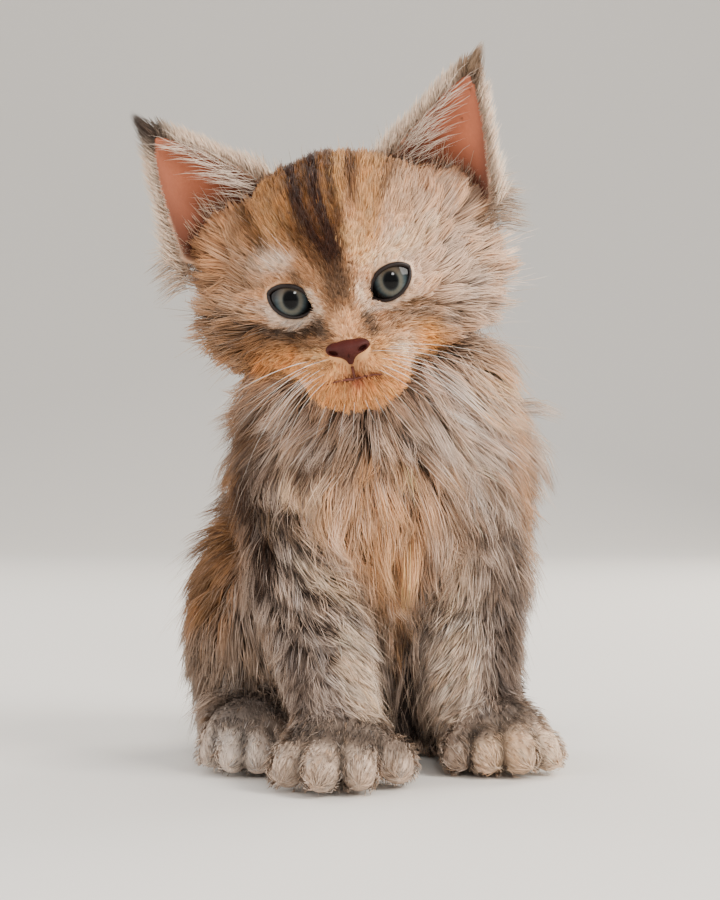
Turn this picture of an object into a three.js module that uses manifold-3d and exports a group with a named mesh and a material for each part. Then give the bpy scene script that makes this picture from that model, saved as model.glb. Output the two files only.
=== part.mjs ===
// Sitting Maine Coon kitten, life size, millimetres, +Z up, the kitten faces -Y.
// "left" and "right" in the names are the kitten's own sides (its left is +X).
// The body is one implicit form (ellipsoids and tapered limbs blended together),
// measured out to the tips of the coat, meshed and parted with thin cuts.
import * as THREE from 'three';
import Module from 'manifold-3d';

const wasm = await Module();
wasm.setup();

// ------------------------------------------------------------ driving sizes
const ORIGIN_SHIFT = [5.4, -81.0, 0];   // brings the middle of the footprint to x = y = 0
const CUT_GAP = 0.7;                    // width of the cuts between body parts
const CUT_STEP = 5;                     // mesh step of the cuts
const FLOOR = 0;

const HEAD_ROLL = 10.5, HEAD_YAW = -5.0, HEAD_PITCH = 8.0;   // tilt of the head, degrees
const EYE_MIDPOINT = [-10.8, 3.0, 132.4];                    // between the two corneas
const EYE_CENTRE = [13.4, -21.9, -4.0];                      // head frame, mirrored for the other eye
const EYE_RADIUS = 8.2;
const LID_THICKNESS = 1.0;
const EYE_OPENING = { halfLength: 7.1, halfHeight: 3.8, shift: -0.45, tilt: 33.2 };

const EAR = { base: [30.5, 3, 19], tip: [45, -3, 46.8], halfWidth: 18, widthPower: 0.70,
              scoop: 12, scoopPower: 0.85, thickness: 3.4, root: 8 };

const CHEST = { c: [1, 52, 84], r: [40, 32, 38] };
const WITHERS = { c: [-1, 66, 100], r: [33, 30, 30] };
const BACK = { c: [-7, 80, 58], r: [42, 40, 50] };
const RUMP = { c: [-9, 92, 34], r: [40, 34, 37] };
const NECK = { a: [-1, 56, 108], b: [-7, 44, 130], ra: 29, rb: 26 };
const RUFF = [{ c: [-23, 37, 109], r: [14.5, 15, 17] }, { c: [21, 37, 110], r: [14.5, 15, 17] }];   // fluff of the throat at either side
const THIGH = { r: [21, 35, 34], left: [20, 76, 37], right: [-36, 76, 37], pitch: -18, toe: 8 };

// forelegs: shoulder, elbow, wrist with the radii there
const FORELEG = {
  left: { p: [[25, 52, 84], [27, 52, 54], [27, 50, 20]], r: [19, 15.5, 12.5] },
  right: { p: [[-22, 48, 84], [-21, 40, 54], [-12, 21, 20]], r: [20, 15.5, 12.5] },
};
// paws: dome of the foot, then the toes' ends (x, y, radius) on the floor
const FOREPAW = {
  left: { c: [33, 47, 10], r: [15.5, 15, 11.2], turn: 28,
          toes: [[22, 33, 6.0], [29.8, 29, 6.0], [38.8, 28.2, 6.2], [47, 34.5, 5.8]] },
  right: { c: [-11, 14, 10], r: [15.5, 15, 11.2], turn: -8,
           toes: [[-24.6, 4.6, 6.2], [-15.6, -3.6, 6.3], [-5.8, -0.8, 6.3], [4.6, 10.4, 6.2]] },
};
const HINDPAW = {
  left: { c: [24, 82, 10], r: [13, 14, 10.8], turn: 8, heel: [20, 112, 11],
          toes: [[14, 71, 5.4], [20.6, 65, 5.6], [27.6, 65, 5.6], [34.2, 70, 5.4]] },
  right: { c: [-37.5, 44, 10], r: [13, 14, 10.8], turn: -6, heel: [-40, 88, 11],
           toes: [[-47.2, 40, 5.4], [-40.8, 30, 5.7], [-33.8, 28.4, 5.7], [-26.6, 33, 5.4]] },
};
const TAIL = [[-8, 116, 19, 15], [-7, 134, 13.0, 13.6], [2, 150, 11.6, 12.2], [17, 159, 10.9, 11.5],
              [31, 154, 10.2, 10.8], [38, 142, 9.2, 9.8], [39, 131, 7.6, 8.2]];   // x, y, z, radius

// ------------------------------------------------------------ vectors
const D2R = Math.PI / 180;
const sub = (a, b) => [a[0] - b[0], a[1] - b[1], a[2] - b[2]];
const add = (a, b) => [a[0] + b[0], a[1] + b[1], a[2] + b[2]];
const mul = (a, s) => [a[0] * s, a[1] * s, a[2] * s];
const dot = (a, b) => a[0] * b[0] + a[1] * b[1] + a[2] * b[2];
const cross = (a, b) => [a[1] * b[2] - a[2] * b[1], a[2] * b[0] - a[0] * b[2], a[0] * b[1] - a[1] * b[0]];
const len = (a) => Math.hypot(a[0], a[1], a[2]);
const unit = (a) => mul(a, 1 / len(a));
const clamp = (x, a, b) => Math.min(Math.max(x, a), b);

// columns of a frame turned by rx, then ry, then rz (degrees)
function frame(rx, ry, rz) {
  const [a, b, c] = [rx * D2R, ry * D2R, rz * D2R];
  const turn = (v) => {
    let [x, y, z] = v;
    [y, z] = [y * Math.cos(a) - z * Math.sin(a), y * Math.sin(a) + z * Math.cos(a)];
    [x, z] = [x * Math.cos(b) + z * Math.sin(b), -x * Math.sin(b) + z * Math.cos(b)];
    [x, y] = [x * Math.cos(c) - y * Math.sin(c), x * Math.sin(c) + y * Math.cos(c)];
    return [x, y, z];
  };
  return [turn([1, 0, 0]), turn([0, 1, 0]), turn([0, 0, 1])];
}
const toWorld = (F, o, v) => add(o, add(add(mul(F[0], v[0]), mul(F[1], v[1])), mul(F[2], v[2])));
const toLocal = (F, o, p) => { const d = sub(p, o); return [dot(d, F[0]), dot(d, F[1]), dot(d, F[2])]; };

// ------------------------------------------------------------ distance fields
function smin(a, b, k) {
  const h = clamp(0.5 + 0.5 * (b - a) / k, 0, 1);
  return b + (a - b) * h - k * h * (1 - h);
}
const smax = (a, b, k) => -smin(-a, -b, k);

function ell(p, c, r, F) {
  let d = sub(p, c);
  if (F) d = [dot(d, F[0]), dot(d, F[1]), dot(d, F[2])];
  const a = [d[0] / r[0], d[1] / r[1], d[2] / r[2]];
  const k0 = len(a), k1 = Math.hypot(a[0] / r[0], a[1] / r[1], a[2] / r[2]) + 1e-9;
  return k0 * (k0 - 1) / k1;
}
function cone(p, a, b, ra, rb) {
  const ba = sub(b, a), pa = sub(p, a);
  const t = clamp(dot(pa, ba) / dot(ba, ba), 0, 1);
  return len(sub(pa, mul(ba, t))) - (ra + (rb - ra) * t);
}

const HEAD = frame(HEAD_PITCH, 0, 0).map((v) => {
  const R = frame(0, -HEAD_ROLL, HEAD_YAW);
  return add(add(mul(R[0], v[0]), mul(R[1], v[1])), mul(R[2], v[2]));
});
const HEAD_ORIGIN = sub(EYE_MIDPOINT, sub(toWorld(HEAD, [0, 0, 0], [0, -30.1, -4]), [0, 0, 0]));

function openingField(x, z) {
  const c = Math.cos(EYE_OPENING.tilt * D2R), s = Math.sin(EYE_OPENING.tilt * D2R);
  const u = (x - EYE_CENTRE[0]) * c + (z - EYE_CENTRE[2]) * s - EYE_OPENING.shift;
  const v = -(x - EYE_CENTRE[0]) * s + (z - EYE_CENTRE[2]) * c;
  return Math.abs(v) - EYE_OPENING.halfHeight * (1 - (u / EYE_OPENING.halfLength) ** 2);
}

function headField(p) {
  const l = toLocal(HEAD, HEAD_ORIGIN, p);
  const q = [Math.abs(l[0]), l[1], l[2]];
  let d = ell(q, [0, 3, 7], [31, 31, 26.5]);                       // cranium
  d = smin(d, ell(q, [0, -13, -5], [26, 16.5, 21]), 8);            // face
  d = smin(d, ell(q, [20.5, -4, -9.5], [19.5, 19, 17]), 8);        // cheek
  d = smin(d, ell(q, [29, 6, -5], [15.5, 15, 17.5]), 8);           // cheek ruff
  d = smin(d, ell(q, [12, -21, -17], [10, 8, 8]), 6);              // under the eye
  d = smin(d, ell(q, [11.5, -21, 7], [9, 7, 5]), 5);               // brow
  d = smin(d, cone(q, [0, -23.5, 10], [0, -33, -12], 8.5, 6.4), 8); // bridge of the nose
  d = smin(d, ell(q, [6.6, -30.5, -22.3], [9.2, 9.5, 7]), 6);      // whisker pad
  d = smin(d, ell(q, [0, -25.5, -28.6], [13.2, 10.5, 7.8]), 5);    // chin
  d = smin(d, ell(q, [0, -37.2, -17.5], [5.4, 4.2, 4.2]), 4);      // nose
  d = smin(d, ell(q, [0, 0, -20], [22, 22, 14]), 8);               // throat
  d = smin(d, len(sub(q, EYE_CENTRE)) - EYE_RADIUS - LID_THICKNESS, 2.5);
  return d;
}

function earFrame(side) {
  const base = [EAR.base[0] * side, EAR.base[1], EAR.base[2]];
  const tip = [EAR.tip[0] * side, EAR.tip[1], EAR.tip[2]];
  const L = len(sub(tip, base)), w = unit(sub(tip, base));
  const back = [0.42 * side, 1, 0];
  const b = unit(sub(back, mul(w, dot(back, w))));
  return { base, L, w, b, a: cross(b, w) };
}
const EARS = { left: earFrame(1), right: earFrame(-1) };

function earField(p, E) {
  const r = sub(toLocal(HEAD, HEAD_ORIGIN, p), E.base);
  const W = dot(r, E.w), A = dot(r, E.a), B = dot(r, E.b);
  const m = clamp(1 - W / E.L, 0, 1.3);
  const half = EAR.halfWidth * m ** EAR.widthPower, dep = EAR.scoop * m ** EAR.scoopPower;
  const u = clamp(A / Math.max(half, 1), -1.4, 1.4);
  const slope = 2 * dep * u / Math.max(half, 1);
  const d1 = Math.abs(B - (dep * (1 - u * u) - 2)) / Math.sqrt(1 + slope * slope) - EAR.thickness / 2;
  const d2 = (Math.abs(A) - half) * 0.85;
  const d3 = Math.abs(W - (E.L - EAR.root) / 2) - (E.L + EAR.root) / 2;
  return smax(smax(d1, d2, 1.5), d3, 1);
}

function trunkField(p) {
  let d = ell(p, CHEST.c, CHEST.r);
  d = smin(d, ell(p, WITHERS.c, WITHERS.r), 12);
  d = smin(d, ell(p, BACK.c, BACK.r), 12);
  return smin(d, ell(p, RUMP.c, RUMP.r), 12);
}
const neckField = (p) => RUFF.reduce((d, { c, r }) => smin(d, ell(p, c, r), 8), cone(p, NECK.a, NECK.b, NECK.ra, NECK.rb));
const THIGH_FRAME = { left: frame(THIGH.pitch, 0, THIGH.toe), right: frame(THIGH.pitch, 0, -THIGH.toe) };
const thighField = (p, side) => ell(p, THIGH[side], THIGH.r, THIGH_FRAME[side]);
function forelegField(p, side) {
  const f = FORELEG[side];
  return smin(cone(p, f.p[0], f.p[1], f.r[0], f.r[1]), cone(p, f.p[1], f.p[2], f.r[1], f.r[2]), 5);
}
function pawField(p, paw) {
  const F = frame(0, 0, paw.turn);
  let d = ell(p, paw.c, paw.r, F);
  for (const [x, y, r] of paw.toes) {
    const root = [paw.c[0] + (x - paw.c[0]) * 0.55, paw.c[1] + (y - paw.c[1]) * 0.25, 10.5];
    const knuckle = [paw.c[0] + (x - paw.c[0]) * 0.9, paw.c[1] + (y - paw.c[1]) * 0.72, r + 1.6];
    let t = cone(p, root, knuckle, r * 0.9, r);
    t = smin(t, cone(p, knuckle, [x, y, r - 1.2], r, r * 0.93), 1.5);
    d = smin(d, t, 1.6);
  }
  if (paw.heel) d = smin(d, cone(p, [paw.c[0], paw.c[1] + 4, 10.6], paw.heel, 11.3, 11.8), 5);
  return d;
}
function tailField(p) {
  let d = 1e9;
  for (let i = 0; i + 1 < TAIL.length; i++) {
    d = smin(d, cone(p, TAIL[i].slice(0, 3), TAIL[i + 1].slice(0, 3), TAIL[i][3], TAIL[i + 1][3]), 3);
  }
  return d;
}

const GROUPS = {
  head: headField,
  neck: neckField,
  trunk: trunkField,
  tail: tailField,
  thigh_left: (p) => thighField(p, 'left'),
  thigh_right: (p) => thighField(p, 'right'),
  foreleg_left: (p) => forelegField(p, 'left'),
  foreleg_right: (p) => forelegField(p, 'right'),
  forepaw_left: (p) => pawField(p, FOREPAW.left),
  forepaw_right: (p) => pawField(p, FOREPAW.right),
  hindpaw_left: (p) => pawField(p, HINDPAW.left),
  hindpaw_right: (p) => pawField(p, HINDPAW.right),
};
const NAMES = Object.keys(GROUPS);
const fieldsAt = (p) => { const g = {}; for (const n of NAMES) g[n] = GROUPS[n](p); return g; };

function wholeOf(g) {
  let d = smin(g.trunk, g.neck, 14);
  d = smin(smin(d, g.thigh_left, 8), g.thigh_right, 8);
  for (const s of ['left', 'right']) {
    d = smin(d, smin(g['foreleg_' + s], g['forepaw_' + s], 4), 7);
    d = smin(d, g['hindpaw_' + s], 4);
  }
  d = smin(d, g.tail, 6);
  return smin(d, g.head, 6);
}
const whole = (p) => wholeOf(fieldsAt(p));
// negative where the named part is the nearest one
function cell(name, p) {
  const g = fieldsAt(p);
  let other = 1e9;
  for (const n of NAMES) if (n !== name) other = Math.min(other, g[n]);
  return g[name] - other;
}
const boxField = (p, lo, hi) => Math.max(lo[0] - p[0], p[0] - hi[0], lo[1] - p[1], p[1] - hi[1], lo[2] - p[2], p[2] - hi[2]);

// ------------------------------------------------------------ meshing a field
function polygonise(field, lo, hi, h) {
  const n = [0, 1, 2].map((i) => Math.max(2, Math.ceil((hi[i] - lo[i]) / h)));
  const [sx, sy, sz] = [n[0] + 1, n[1] + 1, n[2] + 1];
  const at = (i, j, k) => (i * sy + j) * sz + k;
  const v = new Float64Array(sx * sy * sz);
  for (let i = 0; i < sx; i++) for (let j = 0; j < sy; j++) for (let k = 0; k < sz; k++) {
    v[at(i, j, k)] = field([lo[0] + i * h, lo[1] + j * h, lo[2] + k * h]);
  }
  const id = new Int32Array(n[0] * n[1] * n[2]).fill(-1);
  const cid = (i, j, k) => (i * n[1] + j) * n[2] + k;
  const verts = [];
  const C = [];
  for (let a = 0; a < 8; a++) C.push([a >> 2 & 1, a >> 1 & 1, a & 1]);
  for (let i = 0; i < n[0]; i++) for (let j = 0; j < n[1]; j++) for (let k = 0; k < n[2]; k++) {
    const w = C.map((c) => v[at(i + c[0], j + c[1], k + c[2])]);
    const inside = w.filter((x) => x < 0).length;
    if (inside === 0 || inside === 8) continue;
    let s = [0, 0, 0], m = 0;
    for (let a = 0; a < 8; a++) for (const bit of [4, 2, 1]) {
      if (a & bit) continue;
      const b = a | bit;
      if ((w[a] < 0) === (w[b] < 0)) continue;
      const t = w[a] / (w[a] - w[b]);
      s = add(s, add(C[a], mul(sub(C[b], C[a]), t)));
      m++;
    }
    id[cid(i, j, k)] = verts.length;
    verts.push([lo[0] + (i + s[0] / m) * h, lo[1] + (j + s[1] / m) * h, lo[2] + (k + s[2] / m) * h]);
  }
  // draw the vertices onto the surface
  const e = 0.05;
  const K = [[1, -1, -1], [-1, -1, 1], [-1, 1, -1], [1, 1, 1]];
  for (let s = 0; s < 3; s++) for (let m = 0; m < verts.length; m++) {
    const p = verts[m], d = field(p);
    let g = [0, 0, 0];
    for (const kk of K) g = add(g, mul(kk, field(add(p, mul(kk, e)))));
    g = mul(g, 1 / (4 * e));
    const q = dot(g, g) + 1e-6, st = clamp(d / q, -0.3 * h, 0.3 * h);
    verts[m] = sub(p, mul(g, st));
  }
  const tris = [];
  const AX = [[1, 2], [2, 0], [0, 1]];
  for (let ax = 0; ax < 3; ax++) {
    const [u, w] = AX[ax];
    for (let i = 0; i < sx; i++) for (let j = 0; j < sy; j++) for (let k = 0; k < sz; k++) {
      const c = [i, j, k];
      if (c[ax] >= n[ax] || c[u] < 1 || c[w] < 1 || c[u] >= n[u] || c[w] >= n[w]) continue;
      const d = [...c]; d[ax]++;
      const a0 = v[at(...c)] < 0, a1 = v[at(...d)] < 0;
      if (a0 === a1) continue;
      const f = (du, dw) => { const x = [...c]; x[u] -= du; x[w] -= dw; return id[cid(...x)]; };
      let q = [f(1, 1), f(0, 1), f(0, 0), f(1, 0)];
      if (!a0) q = q.reverse();
      const d02 = len(sub(verts[q[0]], verts[q[2]])), d13 = len(sub(verts[q[1]], verts[q[3]]));
      if (d02 <= d13) tris.push([q[0], q[1], q[2]], [q[0], q[2], q[3]]);
      else tris.push([q[1], q[2], q[3]], [q[1], q[3], q[0]]);
    }
  }
  return { verts, tris };
}

// ------------------------------------------------------------ joining and cutting
function solidOf({ verts, tris }) {
  const vertProperties = new Float32Array(verts.flat());
  const triVerts = new Uint32Array(tris.flat());
  return new wasm.Manifold(new wasm.Mesh({ numProp: 3, vertProperties, triVerts }));
}
function solidOfGeometry(geometry, matrix) {
  const g = geometry.clone();
  if (matrix) g.applyMatrix4(matrix);
  const pos = g.attributes.position, key = new Map(), verts = [], tris = [];
  const index = g.index ? g.index.array : [...Array(pos.count).keys()];
  const idOf = (i) => {
    const p = [pos.getX(i), pos.getY(i), pos.getZ(i)];
    const k = p.map((x) => Math.round(x * 1e4)).join();
    if (!key.has(k)) { key.set(k, verts.length); verts.push(p); }
    return key.get(k);
  };
  for (let i = 0; i < index.length; i += 3) {
    const t = [idOf(index[i]), idOf(index[i + 1]), idOf(index[i + 2])];
    if (t[0] !== t[1] && t[1] !== t[2] && t[2] !== t[0]) tris.push(t);
  }
  return solidOf({ verts, tris });
}
function meshOf(solid) {
  const m = solid.getMesh(), n = m.numProp, verts = [], tris = [];
  for (let i = 0; i < m.vertProperties.length; i += n) verts.push([...m.vertProperties.slice(i, i + 3)]);
  for (let i = 0; i < m.triVerts.length; i += 3) tris.push([...m.triVerts.slice(i, i + 3)]);
  return { verts, tris };
}
// join vertices that lie on one another
function weld({ verts, tris }, by = 0.004) {
  const key = new Map(), out = [], map = [];
  verts.forEach((v, i) => {
    const k = v.map((x) => Math.round(x / by)).join();
    if (!key.has(k)) { key.set(k, out.length); out.push(v); }
    map[i] = key.get(k);
  });
  return { verts: out, tris: tris.map((t) => t.map((i) => map[i])).filter((t) => t[0] !== t[1] && t[1] !== t[2] && t[2] !== t[0]) };
}
// one closed piece; places where its surface touches itself are drawn apart
function sound(mesh) {
  const m = largest(meshOf(solidOf(weld(mesh))));
  const seen = new Map(), twins = new Set();
  m.verts.forEach((v, i) => {
    const k = v.map((x) => Math.round(x / 0.01)).join();
    if (seen.has(k)) { twins.add(i); twins.add(seen.get(k)); } else seen.set(k, i);
  });
  if (!twins.size) return m;
  const inner = grown(m, -0.03);
  return { verts: m.verts.map((v, i) => (twins.has(i) ? inner.verts[i] : v)), tris: m.tris };
}
// keep the largest piece, its faces being joined along edges
function largest({ verts, tris }) {
  const parent = tris.map((_, i) => i);
  const find = (i) => { while (parent[i] !== i) { parent[i] = parent[parent[i]]; i = parent[i]; } return i; };
  const edge = new Map();
  tris.forEach((t, i) => {
    for (let k = 0; k < 3; k++) {
      const a = t[k], b = t[(k + 1) % 3], key = a < b ? a * 1e6 + b : b * 1e6 + a;
      if (edge.has(key)) parent[find(i)] = find(edge.get(key)); else edge.set(key, i);
    }
  });
  const vol = new Map();
  tris.forEach((t, i) => {
    const [a, b, c] = t.map((v) => verts[v]);
    const r = find(i);
    vol.set(r, (vol.get(r) || 0) + dot(a, cross(b, c)) / 6);
  });
  const best = [...vol.entries()].sort((x, y) => y[1] - x[1])[0][0];
  const keep = tris.filter((_, i) => find(i) === best);
  const map = new Map(), out = [];
  const tri = keep.map((t) => t.map((i) => { if (!map.has(i)) { map.set(i, out.length); out.push(verts[i]); } return map.get(i); }));
  return { verts: out, tris: tri };
}
// join the ends of edges where the surface stays sound and moves less than the slack
function tidy(mesh, longest, slack) {
  let { verts, tris } = mesh;
  for (let round = 0; round < 24; round++) {
    const ring = verts.map(() => new Set());
    const around = verts.map(() => []);
    tris.forEach((t, i) => { for (let k = 0; k < 3; k++) { ring[t[k]].add(t[(k + 1) % 3]); ring[t[k]].add(t[(k + 2) % 3]); around[t[k]].push(i); } });
    const busy = new Uint8Array(verts.length), gone = new Map();
    const edges = [];
    for (const t of tris) for (let k = 0; k < 3; k++) {
      const a = t[k], b = t[(k + 1) % 3];
      if (a < b) { const L = len(sub(verts[a], verts[b])); if (L < longest) edges.push([L, a, b]); }
    }
    edges.sort((x, y) => x[0] - y[0]);
    for (const [L, a, b] of edges) {
      if (busy[a] || busy[b]) continue;
      let common = 0;
      for (const x of ring[a]) if (ring[b].has(x)) common++;
      if (common !== 2) continue;
      // how well the faces keep their place when one end is dropped
      const cost = (keepV, dropV) => {
        let worst = 0;
        for (const i of around[dropV]) {
          const t = tris[i];
          if (t.includes(keepV)) continue;
          const P = t.map((v) => verts[v]);
          const Q = t.map((v) => verts[v === dropV ? keepV : v]);
          const n0 = cross(sub(P[1], P[0]), sub(P[2], P[0])), n1 = cross(sub(Q[1], Q[0]), sub(Q[2], Q[0]));
          const A0 = len(n0), A1 = len(n1);
          const side = Math.max(len(sub(Q[1], Q[0])), len(sub(Q[2], Q[1])), len(sub(Q[0], Q[2])));
          if (A1 < 0.06 * side * side && A1 / (side * side) < A0 / 1e3 + 0.05) return 1e9;
          if (A0 > 1e-3 && dot(n0, n1) < 0.72 * A0 * A1) return 1e9;
          worst = Math.max(worst, Math.abs(dot(sub(verts[dropV], Q[0]), n1)) / A1);
        }
        return worst;
      };
      const ab = cost(a, b), ba = cost(b, a);
      const limit = L < 0.5 ? slack * 1.6 : slack;
      if (Math.min(ab, ba) > limit) continue;
      const [k, d] = ab <= ba ? [a, b] : [b, a];
      gone.set(d, k);
      for (const x of ring[a]) busy[x] = 1;
      for (const x of ring[b]) busy[x] = 1;
      busy[a] = busy[b] = 1;
    }
    if (!gone.size) break;
    tris = tris.map((t) => t.map((i) => (gone.has(i) ? gone.get(i) : i))).filter((t) => t[0] !== t[1] && t[1] !== t[2] && t[2] !== t[0]);
  }
  return largest({ verts, tris });
}
function grown({ verts, tris }, by) {
  const nrm = verts.map(() => [0, 0, 0]);
  for (const t of tris) {
    const [a, b, c] = t.map((i) => verts[i]);
    const n = cross(sub(b, a), sub(c, a));
    for (const i of t) nrm[i] = add(nrm[i], n);
  }
  return { verts: verts.map((v, i) => add(v, mul(unit(nrm[i]), by))), tris };
}

// ------------------------------------------------------------ the body parts
// mesh step and cut step of each part
const STEP = {
  head: 4.2, neck: 7, trunk: 8, tail: 5, thigh_left: 6, thigh_right: 6, foreleg_left: 5.2, foreleg_right: 5.2,
  forepaw_left: 3.3, forepaw_right: 3.3, hindpaw_left: 4.2, hindpaw_right: 3.5,
};
const SLACK = { head: 0.24, nose: 0.07, ear_left: 0.16, ear_right: 0.16 };   // surface accuracy kept when faces are merged
const LO = [-80, -30, -6], HI = [80, 190, 200], COARSE = 5;
const box = Object.fromEntries(NAMES.map((n) => [n, [[1e9, 1e9, 1e9], [-1e9, -1e9, -1e9]]]));
for (let x = LO[0]; x <= HI[0]; x += COARSE) for (let y = LO[1]; y <= HI[1]; y += COARSE) for (let z = LO[2]; z <= HI[2]; z += COARSE) {
  const p = [x, y, z], g = fieldsAt(p), w = wholeOf(g);
  if (w > 5) continue;
  const sorted = NAMES.map((n) => g[n]).sort((a, b) => a - b);
  for (const n of NAMES) {
    const other = g[n] === sorted[0] ? sorted[1] : sorted[0];
    if (g[n] - other > 4) continue;
    for (let i = 0; i < 3; i++) { box[n][0][i] = Math.min(box[n][0][i], p[i] - 3); box[n][1][i] = Math.max(box[n][1][i], p[i] + 3); }
  }
}
const aboveFloor = solidOfGeometry(new THREE.BoxGeometry(600, 600, 400), new THREE.Matrix4().makeTranslation(0, 80, FLOOR + 200));

const parts = {};
const surfaces = {};
for (const name of NAMES) {
  const h = STEP[name], [lo, hi] = box[name];
  const wide = [lo.map((x) => x - 1.4 * h), hi.map((x) => x + 1.4 * h)];
  const body = polygonise((p) => Math.max(whole(p), boxField(p, ...wide)), wide[0].map((x) => x - h), wide[1].map((x) => x + h), h);
  const snap = (x, up) => (up ? Math.ceil : Math.floor)(x / CUT_STEP) * CUT_STEP;
  const region = polygonise((p) => Math.max(cell(name, p) + CUT_GAP, boxField(p, lo, hi)), lo.map((x) => snap(x, false) - CUT_STEP), hi.map((x) => snap(x, true) + CUT_STEP), CUT_STEP);
  surfaces[name] = body;
  parts[name] = solidOf(body).intersect(solidOf(region)).intersect(aboveFloor);
}

// eyes: sockets behind lens-shaped openings
const headMatrix = new THREE.Matrix4().makeBasis(new THREE.Vector3(...HEAD[0]), new THREE.Vector3(...HEAD[1]), new THREE.Vector3(...HEAD[2])).setPosition(...HEAD_ORIGIN);
const eyeGeometry = {};
for (const [side, s] of [['left', 1], ['right', -1]]) {
  const at = new THREE.Matrix4().makeTranslation(EYE_CENTRE[0] * s, EYE_CENTRE[1], EYE_CENTRE[2]);
  const place = headMatrix.clone().multiply(at);
  eyeGeometry[side] = new THREE.SphereGeometry(EYE_RADIUS, 16, 12).applyMatrix4(place);
  const socket = solidOfGeometry(new THREE.SphereGeometry(EYE_RADIUS + 0.35, 16, 12), place);
  const t = EYE_OPENING.tilt * D2R, lens = [];
  for (let i = 0; i < 20; i++) {
    const f = i / 20 * 2, u = EYE_OPENING.halfLength * (i < 10 ? 1 - 2 * (i / 10) : -1 + 2 * ((i - 10) / 10));
    const v = (i < 10 ? 1 : -1) * EYE_OPENING.halfHeight * (1 - (u / EYE_OPENING.halfLength) ** 2);
    const uu = u + EYE_OPENING.shift;
    lens.push(new THREE.Vector2((uu * Math.cos(t) - v * Math.sin(t)) * s, uu * Math.sin(t) + v * Math.cos(t)));
  }
  if (s < 0) lens.reverse();
  const prism = new THREE.ExtrudeGeometry(new THREE.Shape(lens), { depth: 30, bevelEnabled: false, curveSegments: 1 });
  const forward = new THREE.Matrix4().makeBasis(new THREE.Vector3(1, 0, 0), new THREE.Vector3(0, 0, 1), new THREE.Vector3(0, -1, 0));
  parts.head = parts.head.subtract(socket).subtract(solidOfGeometry(prism, place.clone().multiply(forward)));
}

// nose leather, let into the end of the muzzle
function noseField(p) {
  const l = toLocal(HEAD, HEAD_ORIGIN, p), q = [Math.abs(l[0]), l[1], l[2]];
  let d = ell(q, [3.3, -40.0, -18.3], [2.8, 3.0, 2.0]);
  d = smin(d, cone(q, [0, -40.6, -18.2], [0, -39.2, -22.4], 2.5, 1.5), 1.6);
  return smax(d, -ell(q, [3.5, -43.0, -19.2], [1.5, 1.6, 0.9]), 0.5);
}
const noseAt = toWorld(HEAD, HEAD_ORIGIN, [0, -40, -19.5]);
const nose = polygonise(noseField, sub(noseAt, [9, 7, 9]), add(noseAt, [9, 7, 9]), 1.5);
parts.head = parts.head.subtract(solidOf(grown(nose, 0.4)));
parts.nose = solidOf(nose);

// ears: scooped shells standing on the head
for (const side of ['left', 'right']) {
  const E = EARS[side];
  const mid = toWorld(HEAD, HEAD_ORIGIN, add(E.base, mul(E.w, E.L / 2 - 2)));
  const ear = polygonise((p) => Math.max(earField(p, E), 0.7 - whole(p)), sub(mid, [30, 30, 32]), add(mid, [30, 30, 32]), 2.15);
  parts['ear_' + side] = solidOf(ear);
}

// tail in three lengths
const tail = parts.tail;
delete parts.tail;
const between = (a, b) => unit(sub(b, a));
function slice(k0, k1) {
  let s = tail;
  for (const [k, sign] of [[k0, 1], [k1, -1]]) {
    if (k === null) continue;
    const P = TAIL[k].slice(0, 3), dir = mul(between(TAIL[k - 1].slice(0, 3), TAIL[k + 1].slice(0, 3)), sign);
    const q = new THREE.Quaternion().setFromUnitVectors(new THREE.Vector3(0, 0, 1), new THREE.Vector3(...dir));
    const c = add(P, mul(dir, 60 + 0.3));
    s = s.intersect(solidOfGeometry(new THREE.BoxGeometry(120, 120, 120), new THREE.Matrix4().compose(new THREE.Vector3(...c), q, new THREE.Vector3(1, 1, 1))));
  }
  return s;
}
parts.tail_base = slice(null, 2);
parts.tail_middle = slice(2, 4);
parts.tail_tip = slice(4, null);

// ------------------------------------------------------------ colours and output
const COLOUR = {
  head: 0xb39a7c, neck: 0xa08e7c, trunk: 0x95806a, ear_left: 0xc9a488, ear_right: 0xb8917a,
  nose: 0x5a2c20, tail_base: 0x7e6b58, tail_middle: 0x86725d, tail_tip: 0x6a5a4a,
  thigh_left: 0x8f7d6b, thigh_right: 0x887766, foreleg_left: 0xa19789, foreleg_right: 0x9a9084,
  forepaw_left: 0xb5aa9a, forepaw_right: 0xb0a698, hindpaw_left: 0xa89d8e, hindpaw_right: 0xaaa091,
};
const group = new THREE.Group();
group.name = 'maine_coon_kitten';
function put(name, geometry, colour, roughness) {
  const mesh = new THREE.Mesh(geometry, new THREE.MeshStandardMaterial({ color: colour, roughness, metalness: 0 }));
  mesh.name = name;
  group.add(mesh);
}
const done = {};
for (const [name, solid] of Object.entries(parts)) {
  const h = name === 'nose' ? 1.4 : name.startsWith('ear') ? 2.7 : STEP[name.startsWith('tail') ? 'tail' : name];
  const m = tidy(sound(meshOf(solid)), 2.2 * h, SLACK[name] || 0.1 * h);
  done[name] = m;
}
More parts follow.
